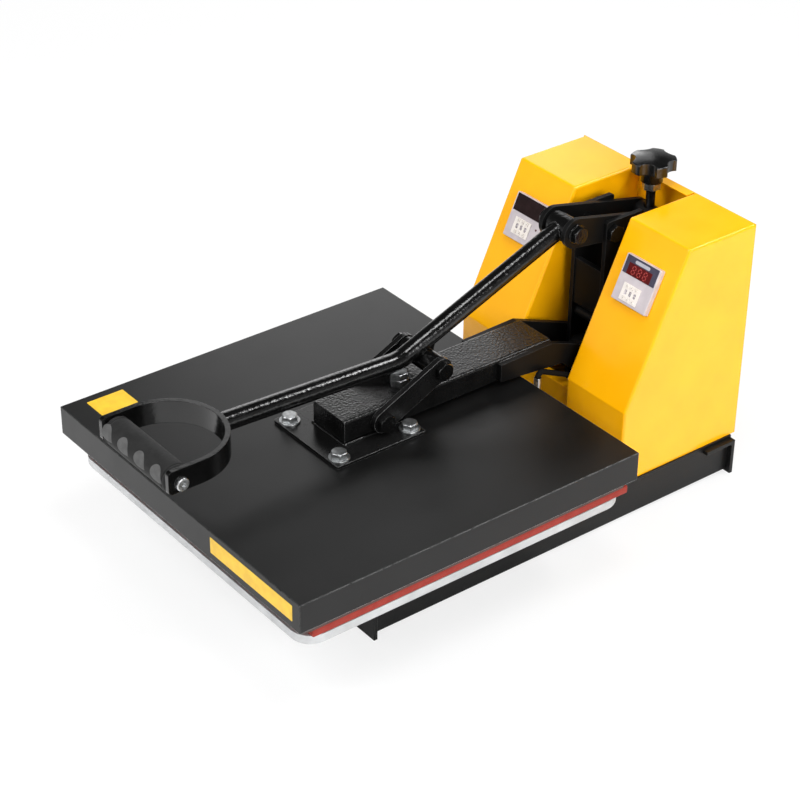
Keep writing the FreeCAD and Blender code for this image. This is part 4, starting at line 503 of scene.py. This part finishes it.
def surface(name, points, finish, body, wrap_u=False, wrap_v=False, smooth=True):
    """Mesh over a grid of points in metres, one face between each four neighbours.

    A row or column that wraps joins its last points to its first. The grid's first index runs
    along u and the second along v, and faces point to the side of u cross v.
    """
    count_u, count_v = points.shape[:2]
    iu = np.arange(count_u if wrap_u else count_u - 1)
    iv = np.arange(count_v if wrap_v else count_v - 1)
    gu, gv = np.meshgrid(iu, iv, indexing="ij")
    gu, gv = gu.ravel(), gv.ravel()
    nu, nv = (gu + 1) % count_u, (gv + 1) % count_v
    quads = np.column_stack([gu * count_v + gv, nu * count_v + gv, nu * count_v + nv, gu * count_v + nv])
    mesh = bpy.data.meshes.new(name)
    mesh.from_pydata(points.reshape(-1, 3).tolist(), [], quads.tolist())
    mesh.polygons.foreach_set("use_smooth", np.full(len(quads), smooth))
    return placed(name, mesh, finish, body)


def placed(name, mesh, finish, body):
    """Puts a mesh into the scene as a piece of the given finish that rides on a body."""
    mesh.materials.append(finish)
    mesh.validate()
    made = bpy.data.objects.new(name, mesh)
    bpy.context.scene.collection.objects.link(made)
    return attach(made, body)


def soft_slab(low, high, corner, bulge, sag, seed):
    """Grid of a soft slab between two corners, in metres.

    Seen from above the outline is a rectangle with round corners of the given radius. v carries it
    from the middle of the top over the edge to the middle of the bottom: the edge's section is a
    half superellipse of power 3 that stands out by three times the bulge at mid height. sag draws
    both faces in, by up to its own depth, after a product of two slow sines, so that they aren't flat.
    """
    around, over = 160, 15
    low, high = np.array(low), np.array(high)
    middle, half = (low + high) / 2, (high - low) / 2
    turn = np.linspace(0, 2 * math.pi, around, endpoint=False)
    reach = np.array([half[0] - corner, half[1] - corner])
    facing = np.column_stack([np.cos(turn), np.sin(turn)])
    core = reach * np.tanh(facing * 14)
    section = np.linspace(-math.pi / 2, math.pi / 2, over)
    inset = 1 - np.abs(np.cos(section)) ** (2 / 3)
    height = np.sign(-section) * np.abs(np.sin(section)) ** (2 / 3)
    ring = core[:, None, :] + facing[:, None, :] * (corner - inset[None, :, None] * bulge * 3)
    rise = np.repeat(height[None, :] * half[2], around, axis=0)
    fill = np.linspace(0, 1, 9)[:-1][None, :, None]
    top = core[:, None, :] * fill + facing[:, None, :] * (corner - bulge * 3) * fill
    flat = np.full((around, top.shape[1]), half[2])
    plan = np.concatenate([top, ring, top[:, ::-1]], axis=1)
    upright = np.concatenate([flat, rise, -flat], axis=1)
    waves = np.sin(plan[..., 0] * 61 + seed) * np.sin(plan[..., 1] * 47 + 2 * seed)
    upright = upright - sag * (0.5 + 0.5 * waves) * np.sign(upright)
    points = np.concatenate([plan + middle[:2], (upright + middle[2])[..., None]], axis=2)
    return points[:, ::-1]


def bead(path, radius, pitch):
    """Grid of a weld bead along a path, in millimetres.

    A circle is carried along the path; its radius swells by an eighth, like a row of overlapping
    drops one pitch apart, and shrinks to nothing over the last radius at each end.
    """
    path = np.asarray(path, float)
    step = np.linalg.norm(np.diff(path, axis=0), axis=1)
    run = np.concatenate([[0], np.cumsum(step)])
    count = max(8, int(run[-1] / pitch * 5))
    at = np.linspace(0, run[-1], count)
    line = np.column_stack([np.interp(at, run, path[:, k]) for k in range(3)])
    heading = np.gradient(line, axis=0)
    heading /= np.linalg.norm(heading, axis=1, keepdims=True)
    upward = np.tile([0.0, 0.0, 1.0], (count, 1))
    steep = np.abs(heading[:, 2]) > 0.9
    upward[steep] = [0.0, 1.0, 0.0]
    side = np.cross(heading, upward)
    side /= np.linalg.norm(side, axis=1, keepdims=True)
    over = np.cross(side, heading)
    drops = 1 + 0.13 * np.abs(np.sin(math.pi * at / pitch))
    ends = np.clip(np.minimum(at, run[-1] - at) / radius, 0.02, 1) ** 0.5
    size = radius * drops * ends
    turn = np.linspace(0, 2 * math.pi, 12, endpoint=False)
    ring = side[:, None, :] * np.cos(turn)[None, :, None] + over[:, None, :] * np.sin(turn)[None, :, None]
    return spot(line[:, None, :] + ring * size[:, None, None])


def weld(name, path, radius, pitch, body):
    """A painted weld bead that rides on a body."""
    surface(name, bead(path, radius, pitch), ENAMEL, body, wrap_v=True)


def along_x(y, z, face, side):
    """Place of a fastener that stands out sideways: its own Z becomes X, from the face outward."""
    return lambda p: spot(np.stack([side * (face + p[..., 2]), y + side * p[..., 0], z + p[..., 1]], axis=-1))


def hex_form(name, place, across, height, washer, finish, body, shank=(0, 0)):
    """Hexagon head or nut on a round washer, about its own Z, with a shank (radius, length) below.

    A section is swept round the axis: up the shank, out over the washer's edge, up the flats and
    over the chamfer to the middle of the top. On the flats the radius at angle t is half across /
    cos(t folded into -30..30 degrees), limited by the chamfer's cone.
    """
    around = 96
    t = np.linspace(0, 2 * math.pi, around + 1)[:-1]
    folded = (t + math.pi / 6) % (math.pi / 3) - math.pi / 6
    flat = across / 2 / np.cos(folded)
    corner = across / math.sqrt(3)
    ring, thick = washer
    levels = [(ring, 0.0), (ring, thick * 0.8), (ring - 0.25, thick)] if thick else []
    if shank[1]:
        levels = [(shank[0], -shank[1]), (shank[0], 0.0)] + levels
    rows = [np.full(around, 1e-3)] + [np.full(around, r) for r, _ in levels]
    heights = [-float(shank[1])] + [z for _, z in levels]
    top = thick + height
    for z in (thick, thick + 0.35, top - 1.6, top - 1.1, top - 0.7, top - 0.35, top):
        cone = corner * 0.985 - max(0.0, z - (top - 1.15)) * 1.3
        rows.append(np.minimum(flat, cone))
        heights.append(z)
    rows += [rows[-1] * 0.55, np.full(around, 1e-3)]
    heights += [top, top]
    radius = np.array(rows).T
    points = np.stack([radius * np.cos(t)[:, None], radius * np.sin(t)[:, None],
                       np.broadcast_to(np.array(heights), radius.shape)], axis=2)
    return surface(name, place(points), finish, body, wrap_u=True, smooth=False)


def film(name, place, half_x, half_y, corner, thick, finish, body):
    """Thin film with round corners.

    Its grid runs round the outline and from the middle of the face to its edge and down; place
    turns local millimetres (across, up, out of the surface) into metres.
    """
    around = 64
    turn = np.linspace(0, 2 * math.pi, around, endpoint=False) + 1e-4
    facing = np.column_stack([np.cos(turn), np.sin(turn)])
    core = np.array([half_x - corner, half_y - corner]) * np.sign(facing)
    outline = core + corner * facing
    scale = np.array([1e-4, 0.5, 1.0, 1.0])
    lift = np.array([thick, thick, thick, 0.0])
    flat = outline[:, None, :] * scale[None, :, None]
    points = np.concatenate([flat, np.broadcast_to(lift[None, :, None], (around, 4, 1))], axis=2)
    return surface(name, place(points)[:, ::-1], finish, body, wrap_u=True, smooth=False)


# Soft pieces
low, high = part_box("silicone_pad")
low.y += PAD_SETBACK / 1000
pad = surface("silicone_sheet", soft_slab(low, high, corner=0.002, bulge=0.00035, sag=0.0, seed=1.0),
              FOAM_RED, "press_frame", wrap_u=True)
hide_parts("silicone_pad")

low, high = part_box("insulation")
blanket = surface("ceramic_blanket", soft_slab(low, high, corner=0.006, bulge=0.0012, sag=0.0008, seed=2.0),
                  BLANKET, "arm", wrap_u=True)
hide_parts("insulation")


def grip_radius(x):
    """Radius of the foam grip at x: full, with a groove 6 mm from each end and a rounded lip."""
    edge = GRIP_HALF - np.abs(x)
    groove = 0.7 * np.exp(-((edge - 6.0) / 0.7) ** 2)
    lip = 3.6 * (1 - np.sqrt(np.clip(1 - (1 - np.clip(edge / 3.6, 0, 1)) ** 2, 0, 1)))
    return FOAM_R - groove - lip


def foam_grip():
    """Foam grip: the radius above turned about the handle's axis, closed down to the bar.

    The 8 mm at each end, with the groove and the lip, are divided more finely.
    """
    x = np.concatenate([np.linspace(-GRIP_HALF, -GRIP_HALF + 8, 34),
                        np.linspace(-GRIP_HALF + 9, GRIP_HALF - 9, 40),
                        np.linspace(GRIP_HALF - 8, GRIP_HALF, 34)])
    radius = grip_radius(x)
    x = np.concatenate([[-GRIP_HALF], x, [GRIP_HALF]])
    radius = np.concatenate([[GRIP_BORE], radius, [GRIP_BORE]])
    turn = np.linspace(0, 2 * math.pi, 72, endpoint=False)
    points = np.empty((len(x), len(turn), 3))
    points[..., 0] = x[:, None]
    points[..., 1] = GRIP_AT[0] - radius[:, None] * np.cos(turn)
    points[..., 2] = GRIP_AT[1] + radius[:, None] * np.sin(turn)
    return surface("foam_grip", spot(points)[:, ::-1], GRIP_SKIN, "lever", wrap_v=True)


grip = foam_grip()
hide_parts("grip")


def grip_inset(number, middle_x):
    """Teardrop pad let into the foam, its point down and to the right.

    The outline is the curve (sin t * sin(t / 2), cos t); it is shrunk towards its middle for the
    inner rings, leaned over, and wrapped round the grip, standing 0.38 mm proud in the middle of
    its face and sinking 0.3 mm at its edge.
    """
    size = 10.6
    t = np.linspace(0, 2 * math.pi, 48, endpoint=False) + 1e-3
    outline = np.column_stack([size * np.sin(t) * np.abs(np.sin(t / 2)), size * np.cos(t)])
    scale = np.array([1e-3, 0.45, 0.8, 0.93, 1.0])
    proud = np.array([0.38, 0.36, 0.28, 0.12, -0.3])
    flat = outline[:, None, :] * scale[None, :, None]
    lean = math.radians(61)
    across = flat[..., 0] * math.cos(lean) + flat[..., 1] * math.sin(lean)
    round_it = -flat[..., 0] * math.sin(lean) + flat[..., 1] * math.cos(lean)
    angle = math.radians(17) - round_it / GRIP_R
    radius = FOAM_R + proud[None, :]
    points = np.stack([middle_x + across, GRIP_AT[0] - radius * np.cos(angle),
                       GRIP_AT[1] + radius * np.sin(angle)], axis=2)
    made = surface("grip_inset_%d" % number, spot(points), INSET_SKIN, "lever", wrap_u=True)


for inset in range(4):
    grip_inset(inset + 1, INSET_FIRST + INSET_PITCH * inset)

# Welds: round three sides of the arm tube's foot, and along the top of each yoke plate
foot_side, foot_front, foot_back = 25.9, 178.5, 252
foot_z = MOUNT_TOP + 0.2
tube_foot = [(foot_side, y, foot_z) for y in np.linspace(foot_back, foot_front, 30)]
tube_foot += [(x, foot_front - 1.1, foot_z) for x in np.linspace(25.4, -25.4, 24)]
tube_foot += [(-foot_side, y, foot_z) for y in np.linspace(foot_front, foot_back, 30)]
weld("weld_arm_foot", tube_foot, 1.5, 3.0, "arm")
for side, hand in ((-1, "left"), (1, "right")):
    yoke_top = [(25.2 * side, y, ARM_TOP - 2.9) for y in np.linspace(368, 430, 30)]
    weld("weld_yoke_top_" + hand, yoke_top, 1.1, 2.6, "arm")


def lever_axis():
    """Unit vectors in (y, z) along the lever's upper run, and square to it."""
    run = np.array([LEVER_PIN[0] - LEVER_FOOT[0], LEVER_PIN[1] + LEVER_RISE - LEVER_FOOT[1]])
    run /= np.linalg.norm(run)
    return run, np.array([-run[1], run[0]])


def boss_seam():
    """Where the lever's tube meets the round boss at its rear end.

    A point of the tube at angle t lies h = rise + R cos t above the boss's axis, so it meets the
    boss of radius B at sqrt(B^2 - h^2) in front of it. h stays 0.6 mm inside B.
    """
    run, normal = lever_axis()
    t = np.linspace(0, 2 * math.pi, 49)
    out = LEVER_R + 0.2
    height = LEVER_RISE * normal[1] + out * np.cos(t)
    ahead = -np.sqrt(BOSS_R ** 2 - np.clip(height, 0.6 - BOSS_R, BOSS_R - 0.6) ** 2)
    flat = np.array(LEVER_PIN) + ahead[:, None] * run + height[:, None] * normal
    return np.column_stack([out * np.sin(t), flat])


def loop_seam():
    """Where the lever's tube meets the handle's strip: y = middle + sqrt(outer^2 - x^2)."""
    t = np.linspace(0, 2 * math.pi, 49)
    out = LEVER_R + 0.3
    x = out * np.sin(t)
    return np.column_stack([x, LOOP_MID_Y + np.sqrt(LOOP_OUTER ** 2 - x ** 2) + 0.3,
                            LOOP_Z + out * np.cos(t)])


weld("weld_lever_boss", boss_seam(), 1.3, 2.4, "lever")
weld("weld_handle_loop", loop_seam(), 1.2, 3.0, "lever")

# Fasteners and thread: size across flats, height, then the washer's radius and thickness
NO_WASHER = (0, 0)
bolts = [hex_form("mount_bolt_%d" % (number + 1), standing(*MOUNT_BOLTS[number], MOUNT_TOP), 14.5, 6.0,
                  (10.5, 2.0), DULL_ZINC, "arm", (SHANK_R, 39.4)) for number in range(4)]
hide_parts("mounting_bolts")
hex_form("levelling_nut", standing(0, LEVELLER_Y, ARM_TOP), 17.0, 7.4, NO_WASHER, DULL_ZINC, "arm",
         (SHANK_R, 27.9))
hex_form("levelling_bolt", standing(0, LEVELLER_Y, ARM_TOP + 7.5), 16.0, 6.4, NO_WASHER, DULL_ZINC, "arm")
for side, hand in ((-1, "left"), (1, "right")):
    hex_form("lever_pin_head_" + hand, along_x(*LEVER_PIN, ROCKER_OUT, side), 17.0, 6.4, (10.5, 1.6),
             ENAMEL, "rocker")


def screw_thread():
    """Rolled M10 thread: at height z and angle t the radius is mean + swing * cos(2 pi z / pitch - t).

    It stands on the screw's own axis, whose Y in millimetres is returned as well.
    """
    low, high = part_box("pressure_screw")
    z = np.linspace(low.z * 1000, high.z * 1000, 12 * int((high.z - low.z) * 1000 / THREAD_PITCH))
    t = np.linspace(0, 2 * math.pi, 33)[:-1]
    radius = THREAD_R + THREAD_SWING * np.cos(2 * math.pi * z[:, None] / THREAD_PITCH - t[None, :])
    radius[0] = radius[-1] = 1e-3
    axis_y = ((low.y + high.y) / 2 - COVER_EDGE) * 1000
    points = np.stack([radius * np.cos(t), axis_y + radius * np.sin(t),
                       np.broadcast_to(z[:, None], radius.shape)], axis=2)
    made = surface("screw_thread", spot(points)[:, ::-1], BLACK_STEEL, "pressure_screw", wrap_v=True)
    return made, axis_y


thread, screw_y = screw_thread()
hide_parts("pressure_screw")
hex_form("jam_nut", standing(0, screw_y, JAM_LOW), 17.0, 8.2, NO_WASHER, ZINC, "pressure_screw")

# Bare films on the cover: half width, half height, corner radius and thickness
film("film_cover_top", standing(-175.5, 44.5, COVER_TOP), 14.5, 20.5, FILM_CORNER, FILM_THICK,
     YELLOW_FILM, "arm")


def on_front(p):
    """Local film millimetres onto the cover's front face: across, up, and out to the front."""
    return spot(np.stack([p[..., 0] + 125.5, -p[..., 2], p[..., 1] + 125.9], axis=-1))


film("film_cover_front", on_front, 63.5, 8.6, FILM_CORNER, FILM_THICK, YELLOW_FILM, "arm")


# Controllers' faces

def on_face(side, x, y, z):
    """Place on a controller's face, z above the bezel, as film() wants it."""
    return lambda p: slope_spot(p + np.array([x, y, FACE_PROUD + z]), side)


def segment_digit(digit, x, y, high, lean, thick, z, side):
    """Lit bars of a seven-segment figure, leaned a little and laid on the face, in metres.

    Each bar is (across, up, lies flat, stands up), in half widths and half heights from the middle.
    """
    wide = high * 0.52
    bars = {"a": (0, 1, 1, 0), "b": (1, 0.5, 0, 1), "c": (1, -0.5, 0, 1), "d": (0, -1, 1, 0),
            "e": (-1, -0.5, 0, 1), "f": (-1, 0.5, 0, 1), "g": (0, 0, 1, 0)}
    lit = {"0": "abcdef", "1": "bc", "6": "acdefg", "8": "abcdefg"}[digit]
    made = []
    for letter in lit:
        cx, cy, flat, tall = bars[letter]
        half = np.array([wide / 2 - thick * 0.7 if flat else thick / 2,
                         high / 4 - thick * 0.6 if tall else thick / 2])
        centre = np.array([cx * wide / 2, cy * high / 2])
        base = np.array([[-1, -1], [1, -1], [1, 1], [-1, 1]]) * half + centre
        base[:, 0] += base[:, 1] * lean + x
        base[:, 1] += y
        made.append(base)
    raised = np.concatenate([np.array(made), np.full((len(made), 4, 1), FACE_PROUD + z)], axis=2)
    return slope_spot(raised, side).reshape(-1, 3)


def figures(name, places, high, lean, thick, z, side, finish):
    """A row of seven-segment figures as one flat piece."""
    points = np.concatenate([segment_digit(d, x, y, high, lean, thick, z, side) for d, x, y in places])
    faces = np.arange(len(points)).reshape(-1, 4)
    mesh = bpy.data.meshes.new(name)
    mesh.from_pydata(points.tolist(), [], faces.tolist())
    placed(name, mesh, finish, "press_frame")


def key_mark(side, hand, column, row_name, direction):
    """Small arrowhead printed on a push key: two strokes that meet at the tip, 1.6 mm across."""
    stroke = np.array([[-0.8, -0.35], [-0.5, -0.55], [0.0, 0.15], [0.0, 0.5],
                       [0.8, -0.35], [0.0, 0.5], [0.0, 0.15], [0.5, -0.55]])
    key_name = "key_%s_%s_%d" % (hand, row_name, column + 2)
    x = FIGURE_X + FIGURE_PITCH * column
    y = FIGURE_Y[side] + KEY_RISE * direction
    flat = np.column_stack([stroke[:, 0] + x, stroke[:, 1] * direction + y, np.full(8, FACE_PROUD + KEY_TOP)])
    mesh = bpy.data.meshes.new("mark_" + key_name)
    mesh.from_pydata(slope_spot(flat, side).tolist(), [], [(0, 1, 2, 3), (4, 5, 6, 7)])
    placed("mark_" + key_name, mesh, PRINT_BLACK, key_name)


for side, hand, glass in ((-1, "left", BROWN_WINDOW), (1, "right", SLATE_WINDOW)):
    made = film("window_" + hand, on_face(side, 0, 13.9, -1.5), 22.1, 9.1, 0.4, 1.4, glass, "press_frame")
    if side < 0:
        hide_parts("display_windows")
film("filter_right", on_face(1, -0.8, 10.8, -0.1), 16.2, 5.9, 0.3, 0.06, RED_FILTER, "press_frame")
film("strip_right", on_face(1, 0, 19.4, -0.1), 10.2, 1.7, 1.6, 0.05, PRINT_GREY, "press_frame")
figures("lamps_right", [("8", -8.8, 10.7), ("8", -0.8, 10.7), ("8", 7.2, 10.7)],
        high=8.0, lean=0.1, thick=1.1, z=-0.02, side=1, finish=SEGMENT)
film("lamp_left", on_face(-1, 18.4, -3.6, 0), 1.1, 1.1, 1.09, 0.3, DARK_SEGMENT, "press_frame")
for side, hand, number in ((-1, "left", "060"), (1, "right", "180")):
    row = [(figure, FIGURE_X + FIGURE_PITCH * (place - 1), FIGURE_Y[side])
           for place, figure in enumerate(number)]
    figures("set_figures_" + hand, row, high=4.0, lean=0.0, thick=0.8, z=0.34, side=side, finish=PRINT_BLACK)
    for column in (-1, 0, 1):
        for row_name, direction in (("up", 1), ("down", -1)):
            key_mark(side, hand, column, row_name, direction)


# Studio

def lamp(name, at, aim, size, power):
    """Square white soft box: its place, aim and size in metres, its power in watts."""
    made = bpy.data.objects.new(name, bpy.data.lights.new(name, "AREA"))
    made.data.size = size
    made.data.energy = power
    made.location = at
    made.rotation_euler = (Vector(aim) - Vector(at)).to_track_quat("-Z", "Y").to_euler()
    bpy.context.scene.collection.objects.link(made)


lamp("key_right", (2.5, -0.3, 1.2), (0.0, 0.1, 0.12), 1.2, 47.0)
lamp("front_high", (-0.45, -1.75, 2.0), (0.0, 0.0, 0.1), 1.2, 38.0)
lamp("front_left", (-0.9, -2.6, 1.1), (0.0, 0.0, 0.1), 1.4, 6.0)
lamp("behind_left", (-2.4, 1.6, 0.9), (-0.1, 0.0, 0.1), 1.0, 6.5)
lamp("behind_soft", (-1.7, 1.28, 1.3), (0.0, 0.0, 0.15), 1.0, 3.9)
lamp("streak_behind", (0.75, 1.45, 2.0), (0.0, 0.0, 0.2), 0.6, 23.0)
lamp("streak_above", (0.45, -0.15, 2.3), (0.0, 0.0, 0.2), 0.55, 13.0)

# The camera sees a white world. Glossy rays see one that is bright at the horizon and dark overhead,
# so that black gloss stays black, and all other rays get a plain fill.
FILL, HORIZON, OVERHEAD = 0.36, 0.5, 0.03
world = bpy.data.worlds.new("studio")
bpy.context.scene.world = world
world.use_nodes = True
sky = world.node_tree
ray = add(sky, "ShaderNodeLightPath")
shown = add(sky, "ShaderNodeMath", {0: ray.outputs["Is Camera Ray"], 1: ray.outputs["Is Transmission Ray"]},
            operation="MAXIMUM")
direction = add(sky, "ShaderNodeSeparateXYZ", {"Vector": add(sky, "ShaderNodeTexCoord").outputs["Generated"]})
fade = add(sky, "ShaderNodeMapRange", {"Value": direction.outputs["Z"], "From Min": 0.1, "From Max": 0.5,
                                       "To Min": HORIZON, "To Max": OVERHEAD})
glossy = add(sky, "ShaderNodeMix", {0: ray.outputs["Is Glossy Ray"], 2: FILL, 3: fade.outputs["Result"]})
strength = add(sky, "ShaderNodeMix", {0: shown.outputs["Value"], 2: glossy.outputs[0], 3: 1.0})
backdrop = sky.nodes["Background"]
backdrop.inputs["Color"].default_value = (1, 1, 1, 1)
sky.links.new(strength.outputs[0], backdrop.inputs["Strength"])

# The bench is matt paper that glows white for the camera: by three quarters near the press, where it
# keeps the shadow, and wholly from 3 m on, so that no horizon shows.
BENCH_HALF = 30
sweep = bpy.data.meshes.new("bench_top")
sweep.from_pydata([(x * BENCH_HALF, y * BENCH_HALF, 0) for x, y in ((-1, -1), (1, -1), (1, 1), (-1, 1))], [],
                  [(0, 1, 2, 3)])
bench = bpy.data.objects.new("bench_top", sweep)
bpy.context.scene.collection.objects.link(bench)
paper = bpy.data.materials.new("backdrop_paper_white")
paper.use_nodes = True
sheet = paper.node_tree
sheet.nodes.remove(sheet.nodes["Principled BSDF"])
matt = add(sheet, "ShaderNodeBsdfDiffuse", {"Color": linear("#f2f2f2")})
glow = add(sheet, "ShaderNodeEmission", {"Color": (1, 1, 1, 1), "Strength": 1.0})
seen = add(sheet, "ShaderNodeLightPath")
spread = add(sheet, "ShaderNodeTexCoord").outputs["Object"]
reach = add(sheet, "ShaderNodeVectorMath", {0: spread}, operation="LENGTH")
white = add(sheet, "ShaderNodeMapRange", {"Value": reach.outputs["Value"], "From Min": 0.6, "From Max": 3.0,
                                          "To Min": 0.74, "To Max": 1.0})
share = add(sheet, "ShaderNodeMath", {0: seen.outputs["Is Camera Ray"], 1: white.outputs["Result"]},
            operation="MULTIPLY")
both = add(sheet, "ShaderNodeMixShader", {0: share.outputs["Value"], 1: matt.outputs["BSDF"],
                                          2: glow.outputs["Emission"]})
sheet.links.new(both.outputs["Shader"], sheet.nodes["Material Output"].inputs["Surface"])
sweep.materials.append(paper)
